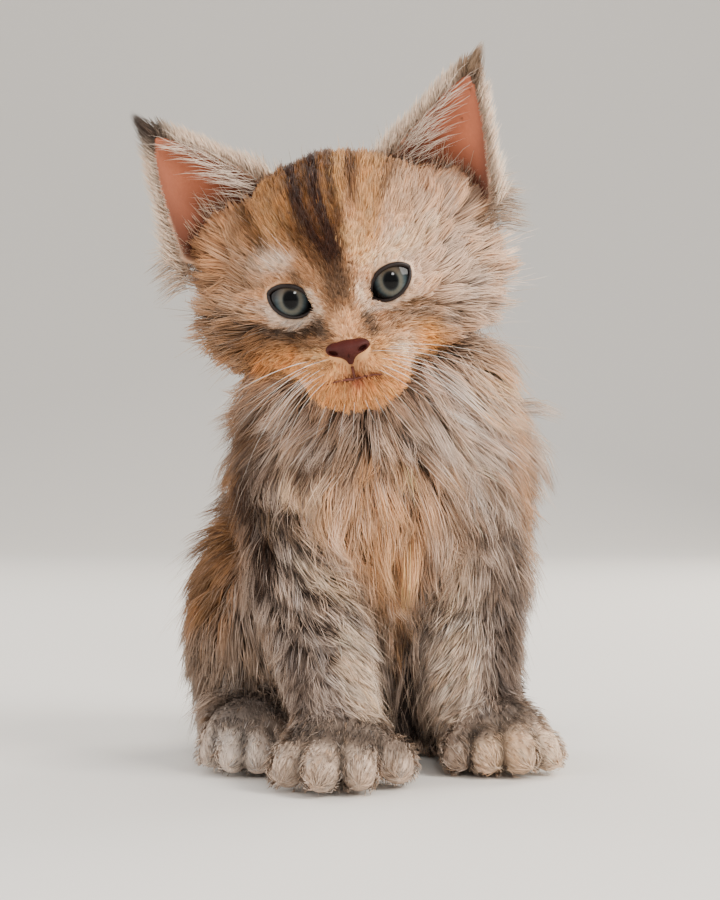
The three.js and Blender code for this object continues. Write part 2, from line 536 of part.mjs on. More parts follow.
// keep the cuts clear where merged faces of two neighbours would touch
const order = Object.keys(done);
for (let i = 0; i < order.length; i++) for (let j = i + 1; j < order.length; j++) {
  const [a, b] = done[order[i]].verts.length > done[order[j]].verts.length ? [order[j], order[i]] : [order[i], order[j]];
  const guard = solidOf(grown(done[a], 0.3)), other = solidOf(done[b]);
  if (other.intersect(guard).volume() < 0.002) continue;
  done[b] = sound(meshOf(other.subtract(guard)));
}
for (const [name, rough] of Object.entries(done)) {
  const m = sound(rough);
  const g = new THREE.BufferGeometry();
  g.setAttribute('position', new THREE.BufferAttribute(new Float32Array(m.verts.map((v) => add(v, ORIGIN_SHIFT)).flat()), 3));
  g.setIndex(m.tris.flat());
  g.computeVertexNormals();
  put(name, g, COLOUR[name], name === 'nose' ? 0.45 : 0.85);
}
for (const side of ['left', 'right']) {
  put('eye_' + side, eyeGeometry[side].clone().translate(...ORIGIN_SHIFT), 0x56707a, 0.12);
}
export default group;
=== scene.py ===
import math
import time
import bpy
import numpy as np
from mathutils import Vector, Matrix, kdtree


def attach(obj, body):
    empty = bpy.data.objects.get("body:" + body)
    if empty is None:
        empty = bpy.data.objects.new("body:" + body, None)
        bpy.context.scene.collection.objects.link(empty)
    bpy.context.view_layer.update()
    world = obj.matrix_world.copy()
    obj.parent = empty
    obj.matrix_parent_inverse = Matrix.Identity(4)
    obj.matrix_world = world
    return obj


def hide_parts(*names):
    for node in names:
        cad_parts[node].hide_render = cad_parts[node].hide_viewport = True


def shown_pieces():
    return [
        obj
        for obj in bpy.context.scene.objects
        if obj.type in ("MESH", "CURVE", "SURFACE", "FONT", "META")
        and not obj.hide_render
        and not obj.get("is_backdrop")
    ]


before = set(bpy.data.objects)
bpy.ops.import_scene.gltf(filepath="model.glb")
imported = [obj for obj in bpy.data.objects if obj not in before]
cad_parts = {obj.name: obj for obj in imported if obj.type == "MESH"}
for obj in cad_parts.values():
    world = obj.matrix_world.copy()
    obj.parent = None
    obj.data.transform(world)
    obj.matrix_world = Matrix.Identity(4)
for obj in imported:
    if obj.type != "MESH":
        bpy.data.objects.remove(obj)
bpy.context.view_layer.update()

T0 = time.time()
F4 = np.float32
SHIFT = np.array([5.4, -81.0, 0.0])          # as in the CAD part: reference frame to row frame, mm

# =====================================================================
# body plan, the same sizes as the CAD part (mm, reference frame)
# =====================================================================
def rot(rx=0.0, ry=0.0, rz=0.0):
    a, b, c = np.radians([rx, ry, rz])
    X = np.array([[1, 0, 0], [0, np.cos(a), -np.sin(a)], [0, np.sin(a), np.cos(a)]])
    Y = np.array([[np.cos(b), 0, np.sin(b)], [0, 1, 0], [-np.sin(b), 0, np.cos(b)]])
    Z = np.array([[np.cos(c), -np.sin(c), 0], [np.sin(c), np.cos(c), 0], [0, 0, 1]])
    return Z @ Y @ X


def unit(v):
    return v / (np.linalg.norm(v, axis=-1, keepdims=True) + 1e-9)


def smin(a, b, k):
    h = np.clip(0.5 + 0.5 * (b - a) / k, 0, 1)
    return b + (a - b) * h - k * h * (1 - h)


def smax(a, b, k):
    return -smin(-a, -b, k)


def sstep(a, b, x):
    t = np.clip((x - a) / (b - a), 0, 1)
    return t * t * (3 - 2 * t)


def ell(p, c, r, R=None):
    q = p - np.asarray(c, F4)
    if R is not None:
        q = q @ R.astype(F4)
    r = np.asarray(r, F4)
    a = q / r
    k0 = np.sqrt(np.einsum("ij,ij->i", a, a))
    b = a / r
    k1 = np.sqrt(np.einsum("ij,ij->i", b, b)) + 1e-9
    return k0 * (k0 - 1) / k1


def cone(p, a, b, ra, rb):
    a = np.asarray(a, F4)
    b = np.asarray(b, F4)
    ba = b - a
    pa = p - a
    t = np.clip((pa @ ba) / float(ba @ ba), 0, 1)
    d = pa - t[:, None] * ba
    return np.sqrt(np.einsum("ij,ij->i", d, d)) - (ra + (rb - ra) * t)


HEAD_R = rot(rz=-5.0) @ rot(ry=-10.5) @ rot(rx=8.0)
EYE = np.array([13.4, -21.9, -4.0])
EYE_R = 8.2
HEAD_O = np.array([-10.8, 3.0, 132.4]) - HEAD_R @ np.array([0, -30.1, -4.0])
LENS = dict(half=6.4, high=3.95, shift=-0.15, tilt=math.radians(28.0))
EARS = {}
for _s in (1, -1):
    _b = np.array([30.5 * _s, 3.0, 19.0])
    _t = np.array([45.0 * _s, -3.0, 46.8])
    _L = np.linalg.norm(_t - _b)
    _w = (_t - _b) / _L
    _k = np.array([0.42 * _s, 1, 0])
    _k = _k - _w * (_k @ _w)
    _k /= np.linalg.norm(_k)
    EARS[_s] = dict(base=_b, L=_L, w=_w, b=_k, a=np.cross(_k, _w))

FORELEG = {1: ([(25, 52, 84), (27, 52, 54), (27, 50, 20)], (19, 15.5, 12.5)),
           -1: ([(-22, 48, 84), (-21, 40, 54), (-12, 21, 20)], (20, 15.5, 12.5))}
FOREPAW = {1: dict(c=(33, 47, 10), r=(15.5, 15, 11.2), turn=28, toes=[(22, 33, 6.0), (29.8, 29, 6.0), (38.8, 28.2, 6.2), (47, 34.5, 5.8)]),
           -1: dict(c=(-11, 14, 10), r=(15.5, 15, 11.2), turn=-8, toes=[(-24.6, 4.6, 6.2), (-15.6, -3.6, 6.3), (-5.8, -0.8, 6.3), (4.6, 10.4, 6.2)])}
HINDPAW = {1: dict(c=(24, 82, 10), r=(13, 14, 10.8), turn=8, heel=(20, 112, 11), toes=[(14, 71, 5.4), (20.6, 65, 5.6), (27.6, 65, 5.6), (34.2, 70, 5.4)]),
           -1: dict(c=(-37.5, 44, 10), r=(13, 14, 10.8), turn=-6, heel=(-40, 88, 11), toes=[(-47.2, 40, 5.4), (-40.8, 30, 5.7), (-33.8, 28.4, 5.7), (-26.6, 33, 5.4)])}
TAIL = [(-8, 116, 19, 15), (-7, 134, 13.0, 13.6), (2, 150, 11.6, 12.2), (17, 159, 10.9, 11.5), (31, 154, 10.2, 10.8), (38, 142, 9.2, 9.8), (39, 131, 7.6, 8.2)]


def head_local(p):
    return (p - HEAD_O.astype(F4)) @ HEAD_R.astype(F4)


def head_world(q):
    return np.asarray(q) @ HEAD_R.T + HEAD_O


def lid_shape(u):
    """Height of the eye's opening along it: round at the outer corner, drawn to a point at the inner one."""
    b = 1 - u * u
    return np.where(u > 0, np.sign(b) * np.abs(b) ** 0.62, 1 - np.abs(u) ** 2.3)


def opening(qa, half=None, high=None):
    half = half or LENS["half"]
    high = high or LENS["high"]
    x, z = qa[:, 0] - EYE[0], qa[:, 2] - EYE[2]
    c, s = math.cos(LENS["tilt"]), math.sin(LENS["tilt"])
    u = x * c + z * s - LENS["shift"]
    v = -x * s + z * c
    return np.abs(v) - high * lid_shape(u / half)


def head_field(qa):
    d = ell(qa, (0, 3, 7), (31, 31, 26.5))
    d = smin(d, ell(qa, (0, -13, -5), (26, 16.5, 21)), 8)
    d = smin(d, ell(qa, (20.5, -4, -9.5), (19.5, 19, 17)), 8)
    d = smin(d, ell(qa, (29, 6, -5), (15.5, 15, 17.5)), 8)
    d = smin(d, ell(qa, (12, -21, -17), (10, 8, 8)), 6)
    d = smin(d, ell(qa, (11.5, -21, 7), (9, 7, 5)), 5)
    d = smin(d, cone(qa, (0, -23.5, 10), (0, -33, -12), 8.5, 6.4), 8)
    d = smin(d, ell(qa, (6.6, -30.5, -22.3), (9.2, 9.5, 7)), 6)
    d = smin(d, ell(qa, (0, -25.5, -28.6), (13.2, 10.5, 7.8)), 5)
    d = smin(d, ell(qa, (0, -37.2, -17.5), (5.4, 4.2, 4.2)), 4)
    d = smin(d, ell(qa, (0, 0, -20), (22, 22, 14)), 8)
    return d


def ear_coords(q, s):
    E = EARS[s]
    r = q - E["base"].astype(F4)
    W, A, B = r @ E["w"].astype(F4), r @ E["a"].astype(F4), r @ E["b"].astype(F4)
    m = np.clip(1 - W / E["L"], 0, 1.3)
    half = 18 * m ** 0.70 * (1 - 0.55 * sstep(2, -8, W))
    dep = 12 * m ** 0.85
    u = np.clip(A / np.maximum(half, 1), -1.4, 1.4)
    return W, A, B, half, dep, u


def ear_field(q, s, t=2.0, inset=0.6):
    """The skin of an ear: the CAD shell made thinner, a little inside its outline."""
    W, A, B, half, dep, u = ear_coords(q, s)
    slope = 2 * dep * u / np.maximum(half, 1)
    d1 = np.abs(B - (dep * (1 - u * u) - 2)) / np.sqrt(1 + slope * slope) - t / 2
    d2 = (np.abs(A) - half + inset) * 0.85
    L = EARS[s]["L"] - 0.8
    d3 = np.abs(W - (L - 8) / 2) - (L + 8) / 2
    return smax(smax(d1, d2, 1.0), d3, 1.0)


def paw_field(p, paw, toes_out=None):
    R = rot(rz=paw["turn"])
    c = paw["c"]
    d = ell(p, c, paw["r"], R)
    for x, y, r in paw["toes"]:
        root = (c[0] + (x - c[0]) * 0.55, c[1] + (y - c[1]) * 0.25, 10.5)
        kn = (c[0] + (x - c[0]) * 0.9, c[1] + (y - c[1]) * 0.72, r + 1.6)
        t = smin(cone(p, root, kn, r * 0.9, r), cone(p, kn, (x, y, r - 0.7), r, r * 0.93), 1.5)
        if toes_out is not None:
            toes_out.append(t)
        d = smin(d, t, 1.6)
    if "heel" in paw:
        d = smin(d, cone(p, (c[0], c[1] + 4, 10.6), paw["heel"], 11.3, 11.8), 5)
    return d


def tail_field(p):
    d = None
    for a, b in zip(TAIL[:-1], TAIL[1:]):
        e = cone(p, a[:3], b[:3], a[3], b[3])
        d = e if d is None else smin(d, e, 3)
    return d


RUFF = [((-23, 37, 109), (14.5, 15, 17)), ((21, 37, 110), (14.5, 15, 17))]
GN = ["head", "neck", "trunk", "tail", "thighL", "thighR", "foreL", "foreR", "pawFL", "pawFR", "pawHL", "pawHR"]
SIDE = {"L": 1, "R": -1}


def group_fields(p):
    q = head_local(p)
    qa = q.copy()
    qa[:, 0] = np.abs(qa[:, 0])
    nk = cone(p, (-1, 56, 108), (-7, 44, 130), 29, 26)
    for c, r in RUFF:
        nk = smin(nk, ell(p, c, r), 8)
    g = {"head": head_field(qa), "neck": nk}
    t = ell(p, (1, 52, 84), (40, 32, 38))
    t = smin(t, ell(p, (-1, 66, 100), (33, 30, 30)), 12)
    t = smin(t, ell(p, (-7, 80, 58), (42, 40, 50)), 12)
    g["trunk"] = smin(t, ell(p, (-9, 92, 34), (40, 34, 37)), 12)
    g["tail"] = tail_field(p)
    for n, s in SIDE.items():
        g["thigh" + n] = ell(p, (20 if s > 0 else -36, 76, 37), (21, 35, 34), rot(rx=-18, rz=8 * s))
        pts, rr = FORELEG[s]
        g["fore" + n] = smin(cone(p, pts[0], pts[1], rr[0], rr[1]), cone(p, pts[1], pts[2], rr[1], rr[2]), 5)
        g["pawF" + n] = paw_field(p, FOREPAW[s])
        g["pawH" + n] = paw_field(p, HINDPAW[s])
    return g, q, qa


DEPTH = {"neck": 8.5, "trunk": 8.0, "tail": 6.0, "thighL": 7.0, "thighR": 7.0, "pawFL": 1.9, "pawFR": 1.9, "pawHL": 2.0, "pawHR": 2.0}


def head_depth(qa):
    """Coat depth over the head: thin on the face, thick on the cheeks and behind."""
    x, y, z = qa[:, 0], qa[:, 1], qa[:, 2]
    d = 1.5 + 5.5 * sstep(-24, 4, y)
    d = d + 3.0 * sstep(20, 34, x) * sstep(14, -8, z)
    top = sstep(4, 20, z)
    d = d * (1 - 0.45 * top)
    near = np.exp(-((x - 31) ** 2 + (y - 3) ** 2 + (z - 19) ** 2) / 15.0 ** 2)
    d = d * (1 - 0.55 * near)
    return np.minimum(d, 8.0)


def leg_depth(p):
    return 3.0 + 4.0 * sstep(25, 75, p[:, 2])


def coat_depth(p, g, qa):
    """Blend of the parts' coat depths, weighted to the nearest parts."""
    num = np.zeros(len(p), F4)
    den = np.zeros(len(p), F4) + 1e-6
    low = np.min(np.stack([g[n] for n in GN]), 0)
    for n in GN:
        w = np.exp(-np.clip((g[n] - low) / 3.0, 0, 30))
        d = head_depth(qa) if n == "head" else leg_depth(p) if n.startswith("fore") else DEPTH[n]
        num += w * d
        den += w
    return num / den


def outer_from(g):
    d = smin(g["trunk"], g["neck"], 14)
    d = smin(smin(d, g["thighL"], 8), g["thighR"], 8)
    for n in "LR":
        d = smin(d, smin(g["fore" + n], g["pawF" + n], 4), 7)
        d = smin(d, g["pawH" + n], 4)
    d = smin(d, g["tail"], 6)
    return smin(d, g["head"], 6)


def under_coat(p, g, qa):
    """The skin of head, body and limbs: inside the outer form, with the lids' bulge and the ears' roots."""
    d = outer_from(g) + 0.72 * coat_depth(p, g, qa)
    d = smin(d, ell(qa, (29.5, 4.5, 12.5), (9.0, 8.0, 9.5)), 6)
    e = qa - EYE.astype(F4)
    e = np.sqrt(np.einsum("ij,ij->i", e, e))
    return smin(d, e - (EYE_R + 0.65), 1.6)


def outer(p):
    p = np.asarray(p, F4)
    g, q, qa = group_fields(p)
    return outer_from(g)


def skin(p, ears=True):
    """Signed distance to the skin, which lies inside the outer form by the coat's depth."""
    p = np.asarray(p, F4)
    g, q, qa = group_fields(p)
    d = under_coat(p, g, qa)
    # the mouth, the groove under the nose, and the nose's own seat
    mouth = np.abs(qa[:, 2] + 27.0 + 0.012 * qa[:, 0] ** 2 - 0.10 * qa[:, 0]) - 0.25
    mouth = smax(mouth, qa[:, 0] - 8.5, 1.0)
    mouth = smax(mouth, qa[:, 1] + 34.0 - 0.04 * qa[:, 0] ** 2, 0.6)
    d = smax(d, -mouth, 1.0)
    phil = smax(qa[:, 0] - 0.25, np.abs(qa[:, 2] + 25) - 2.6, 0.4)
    phil = smax(phil, qa[:, 1] + 38.0, 0.4)
    d = smax(d, -phil, 0.8)
    op = smax(opening(qa), qa[:, 1] - EYE[1] + 1.5, 0.5)
    d = smax(d, -op, 0.5)
    if ears:
        d = smin(d, ear_field(q, 1), 2.5)
        d = smin(d, ear_field(q, -1), 2.5)
    return smax(d, 0.35 - p[:, 2], 0.5)


def evaluate(fn, P, chunk=60000):
    out = np.empty(len(P), F4)
    for i in range(0, len(P), chunk):
        out[i:i + chunk] = fn(P[i:i + chunk])
    return out


TET = np.array([[1, -1, -1], [-1, -1, 1], [-1, 1, -1], [1, 1, 1]], F4)


def gradient(fn, P, e=0.2):
    g = np.zeros((len(P), 3), F4)
    for v in TET:
        g += v * evaluate(fn, P + v * e)[:, None]
    return g / (4 * e)


def nets(fn, lo, hi, h, m=4, margin=1.9):
    """Surface nets on the cells near the surface."""
    lo = np.asarray(lo, float)
    hi = np.asarray(hi, float)
    nc = np.ceil((hi - lo) / (h * m)).astype(int)
    ax = [lo[i] + np.arange(nc[i] + 1) * h * m for i in range(3)]
    G = np.stack(np.meshgrid(*ax, indexing="ij"), -1).reshape(-1, 3)
    C = evaluate(fn, G).reshape(nc + 1)
    near = np.abs(C) < h * m * margin
    cell = np.zeros(nc, bool)
    for dx in (0, 1):
        for dy in (0, 1):
            for dz in (0, 1):
                cell |= near[dx:dx + nc[0], dy:dy + nc[1], dz:dz + nc[2]]
    nf = nc * m
    big = np.repeat(np.repeat(np.repeat(cell, m, 0), m, 1), m, 2)
    fine = np.zeros(nf + 1, bool)
    for dx in (0, 1):
        for dy in (0, 1):
            for dz in (0, 1):
                fine[dx:dx + nf[0], dy:dy + nf[1], dz:dz + nf[2]] |= big
    V = np.repeat(np.repeat(np.repeat(C, m, 0), m, 1), m, 2)[:nf[0] + 1, :nf[1] + 1, :nf[2] + 1]
    V = np.where(V > 0, 9, -9).astype(F4)
    I = np.argwhere(fine)
    V[fine] = evaluate(fn, lo + I * h)
    S = V < 0
    cnt = np.zeros(nf, np.int8)
    for dx in (0, 1):
        for dy in (0, 1):
            for dz in (0, 1):
                cnt += S[dx:dx + nf[0], dy:dy + nf[1], dz:dz + nf[2]]
    act = (cnt > 0) & (cnt < 8)
    idx = np.argwhere(act)
    ids = -np.ones(nf, np.int32)
    ids[act] = np.arange(len(idx))
    corners = [(a, b, c) for a in (0, 1) for b in (0, 1) for c in (0, 1)]
    cv = {c: V[idx[:, 0] + c[0], idx[:, 1] + c[1], idx[:, 2] + c[2]] for c in corners}
    acc = np.zeros((len(idx), 3))
    n = np.zeros(len(idx))
    for c in corners:
        for k in range(3):
            if c[k]:
                continue
            e = list(c)
            e[k] = 1
            a, b = cv[c], cv[tuple(e)]
            x = (a < 0) != (b < 0)
            t = np.where(x, a / np.where(x, a - b, 1), 0)
            pos = np.tile(np.array(c, float), (len(idx), 1))
            pos[:, k] += t
            acc += pos * x[:, None]
            n += x
    verts = lo + (idx + acc / n[:, None]) * h
    quads = []
    for k in range(3):
        i, j = [(1, 2), (2, 0), (0, 1)][k]
        s0 = [slice(None)] * 3
        s1 = [slice(None)] * 3
        s0[k] = slice(0, nf[k])
        s1[k] = slice(1, nf[k] + 1)
        a, b = S[tuple(s0)], S[tuple(s1)]
        E = np.argwhere(a != b)
        E = E[(E[:, i] > 0) & (E[:, j] > 0) & (E[:, i] < nf[i]) & (E[:, j] < nf[j])]
        flip = a[tuple(E.T)]

        def vid(di, dj):
            c = E.copy()
            c[:, i] -= di
            c[:, j] -= dj
            return ids[tuple(c.T)]
        q = np.stack([vid(1, 1), vid(0, 1), vid(0, 0), vid(1, 0)], 1)
        quads.append(np.where(flip[:, None], q, q[:, ::-1]))
    quads = np.concatenate(quads)
    return verts.astype(F4), quads[(quads >= 0).all(1)]


def project(fn, P, steps=2, cap=0.5):
    P = P.astype(F4).copy()
    g = None
    for _ in range(steps):
        d = evaluate(fn, P)
        g = gradient(fn, P)
        n2 = np.einsum("ij,ij->i", g, g) + 1e-6
        P -= g * np.clip(d / n2, -cap, cap)[:, None]
    return P, unit(g)


# =====================================================================
# markings: soft strokes laid over a front chart (3.8 units a millimetre)
# and rings and bars where the front chart doesn't reach
# =====================================================================
def srgb(r, g, b):
    c = np.array([r, g, b], float) / 255
    return np.where(c <= 0.04045, c / 12.92, ((c + 0.055) / 1.055) ** 2.4)


def chart(p):
    k = 2128.0 / (560.0 + p[:, 1])
    return np.stack([360 + (p[:, 0] + 5.5) * k, 450 - (p[:, 2] - 90.7) * k], 1)


def stroke_distance(c, pts):
    """Distance to a polyline, as a fraction of its width, which tapers from point to point."""
    best = np.full(len(c), 9.0)
    if len(pts) == 1:
        x, y, rx, ry = pts[0]
        return np.hypot((c[:, 0] - x) / rx, (c[:, 1] - y) / ry)
    for (x0, y0, w0), (x1, y1, w1) in zip(pts[:-1], pts[1:]):
        d = np.array([x1 - x0, y1 - y0], float)
        r = c - np.array([x0, y0])
        t = np.clip((r @ d) / (d @ d), 0, 1)
        e = r - t[:, None] * d
        best = np.minimum(best, np.hypot(e[:, 0], e[:, 1]) / (w0 + (w1 - w0) * t))
    return best


TAN, CREAM, SILVER = (190, 154, 126), (214, 188, 166), (196, 180, 170)
DARK, BROWN, GREY = (70, 38, 17), (122, 88, 62), (120, 104, 94)
ORANGE, WHITE = (212, 158, 116), (236, 214, 196)

# (colour, strength, softness, points (x, y, width) or one ellipse (x, y, rx, ry))
HEAD_MARKS = [
    ((184, 148, 122), 1.0, 1.0, [(340, 260, 400, 400)]),
    ((212, 190, 174), 0.9, 0.6, [(455, 255, 75, 78)]),
    ((188, 150, 122), 0.7, 0.6, [(225, 250, 45, 60)]),
    ((196, 166, 144), 0.7, 0.6, [(240, 290, 34, 30)]),
    ((128, 92, 64), 0.85, 0.5, [(240, 168, 16), (300, 148, 22), (372, 148, 16)]),
    ((150, 112, 80), 0.7, 0.5, [(262, 175, 22), (285, 225, 16)]),
    ((190, 152, 116), 0.75, 0.4, [(335, 150, 9), (337, 205, 7)]),
    ((196, 158, 124), 0.8, 0.5, [(372, 160, 14), (368, 215, 12), (372, 245, 9)]),
    ((205, 178, 156), 0.6, 0.5, [(395, 180, 16), (410, 225, 20)]),
    ((120, 82, 52), 0.75, 0.6, [(298, 158, 17), (306, 200, 16), (324, 236, 14), (336, 262, 9)]),
    (DARK, 0.97, 0.5, [(286, 156, 6), (296, 200, 7), (312, 232, 8), (330, 258, 8), (340, 280, 5)]),
    (DARK, 0.97, 0.5, [(310, 150, 7), (313, 190, 7), (326, 226, 7), (338, 256, 6)]),
    ((84, 52, 28), 0.8, 0.5, [(326, 150, 6), (330, 186, 5), (338, 222, 6), (346, 246, 4)]),
    ((84, 52, 28), 0.7, 0.5, [(297, 212, 6), (300, 236, 6), (312, 258, 6), (326, 272, 5)]),
    ((110, 72, 42), 0.5, 0.5, [(299, 172, 2.4), (306, 208, 2.4), (322, 240, 2)]),
    ((150, 106, 68), 0.45, 0.5, [(322, 160, 2.6), (322, 190, 2.4), (333, 222, 2)]),
    ((84, 54, 32), 0.7, 0.5, [(350, 165, 6), (353, 200, 4)]),
    ((110, 78, 52), 0.7, 0.5, [(268, 172, 6), (276, 215, 5), (300, 245, 5)]),
    ((98, 70, 48), 0.65, 0.5, [(390, 165, 5), (380, 200, 4)]),
    ((196, 156, 122), 0.6, 0.6, [(262, 190, 14), (268, 232, 14)]),
    ((112, 82, 58), 0.75, 0.5, [(240, 204, 7), (252, 232, 8), (270, 258, 5)]),
    ((150, 122, 100), 0.6, 0.5, [(215, 262, 6), (240, 280, 6), (262, 287, 4)]),
    ((112, 88, 72), 0.9, 0.5, [(338, 285, 15, 24)]),
    ((216, 198, 184), 0.9, 0.5, [(275, 262, 17, 12)]),
    ((200, 176, 158), 0.7, 0.5, [(250, 268, 12, 9)]),
    ((98, 80, 68), 0.7, 0.4, [(293, 277, 4), (303, 282, 3)]),
    ((226, 202, 180), 0.9, 0.5, [(368, 262, 9), (385, 250, 12), (420, 236, 12)]),
    ((214, 184, 152), 0.7, 0.5, [(352, 232, 10), (362, 256, 9)]),
    (WHITE, 0.95, 0.5, [(308, 291, 4), (316, 304, 5), (321, 318, 3)]),
    (WHITE, 0.9, 0.5, [(359, 284, 4), (362, 298, 5), (365, 312, 3)]),
    ((206, 190, 178), 0.9, 0.5, [(262, 306, 5), (275, 320, 6), (298, 323, 7), (311, 318, 5)]),
    ((226, 208, 194), 0.9, 0.5, [(372, 306, 4), (386, 304, 6), (398, 297, 4)]),
    ((104, 84, 70), 0.9, 0.5, [(210, 310, 6), (240, 326, 8), (285, 338, 7), (318, 332, 6)]),
    ((70, 54, 44), 0.8, 0.4, [(222, 320, 3), (255, 328, 3), (300, 335, 3), (322, 322, 3)]),
    ((196, 172, 152), 0.6, 0.4, [(214, 300, 4), (244, 308, 4), (262, 314, 3)]),
    ((150, 116, 90), 0.8, 0.5, [(218, 332, 8), (250, 346, 9), (300, 350, 5)]),
    ((84, 60, 42), 0.9, 0.45, [(222, 340, 6), (236, 354, 8), (248, 374, 8)]),
    ((112, 86, 66), 0.9, 0.5, [(404, 304, 4), (425, 299, 4), (452, 306, 4)]),
    ((90, 68, 52), 0.85, 0.45, [(390, 313, 3), (420, 311, 4), (456, 320, 4)]),
    ((160, 128, 102), 0.7, 0.5, [(395, 326, 5), (430, 322, 6), (462, 332, 6)]),
    ((206, 170, 142), 0.95, 0.5, [(345, 326, 12, 15)]),
    ((98, 80, 68), 0.75, 0.5, [(318, 320, 6), (328, 338, 5)]),
    ((118, 92, 72), 0.7, 0.5, [(300, 345, 4), (322, 350, 4)]),
    ((92, 76, 66), 0.95, 0.5, [(366, 316, 6), (374, 332, 5)]),
    (ORANGE, 0.85, 0.6, [(282, 366, 32, 14)]),
    ((228, 182, 144), 0.9, 0.6, [(322, 368, 24, 13)]),
    ((226, 190, 154), 0.8, 0.5, [(318, 357, 12, 5)]),
    ((228, 184, 146), 0.95, 0.6, [(390, 354, 26, 16)]),
    ((232, 204, 180), 0.95, 0.5, [(408, 344, 17, 12)]),
    ((206, 152, 104), 0.85, 0.6, [(432, 340, 16, 18)]),
    ((110, 74, 48), 0.6, 0.4, [(376, 344, 2), (400, 338, 2)]),
    ((110, 74, 48), 0.6, 0.4, [(374, 352, 2), (396, 348, 2)]),
    ((96, 64, 42), 0.6, 0.4, [(306, 360, 2), (330, 364, 2)]),
    ((96, 64, 42), 0.6, 0.4, [(302, 368, 2), (328, 371, 2)]),
    ((236, 184, 142), 0.95, 0.6, [(300, 386, 14), (352, 402, 18), (405, 384, 14)]),
    ((150, 92, 68), 0.85, 0.5, [(340, 382, 4), (356, 379, 6), (378, 376, 3)]),
    ((184, 120, 100), 0.8, 0.5, [(357, 384, 8, 4)]),
    ((190, 174, 164), 0.7, 0.6, [(478, 305, 26, 46)]),
    ((150, 134, 124), 0.5, 0.5, [(462, 285, 4), (470, 320, 4)]),
    ((168, 130, 98), 0.8, 0.5, [(503, 208, 16, 18)]),
    ((216, 196, 180), 0.7, 0.5, [(500, 250, 16, 24)]),
]
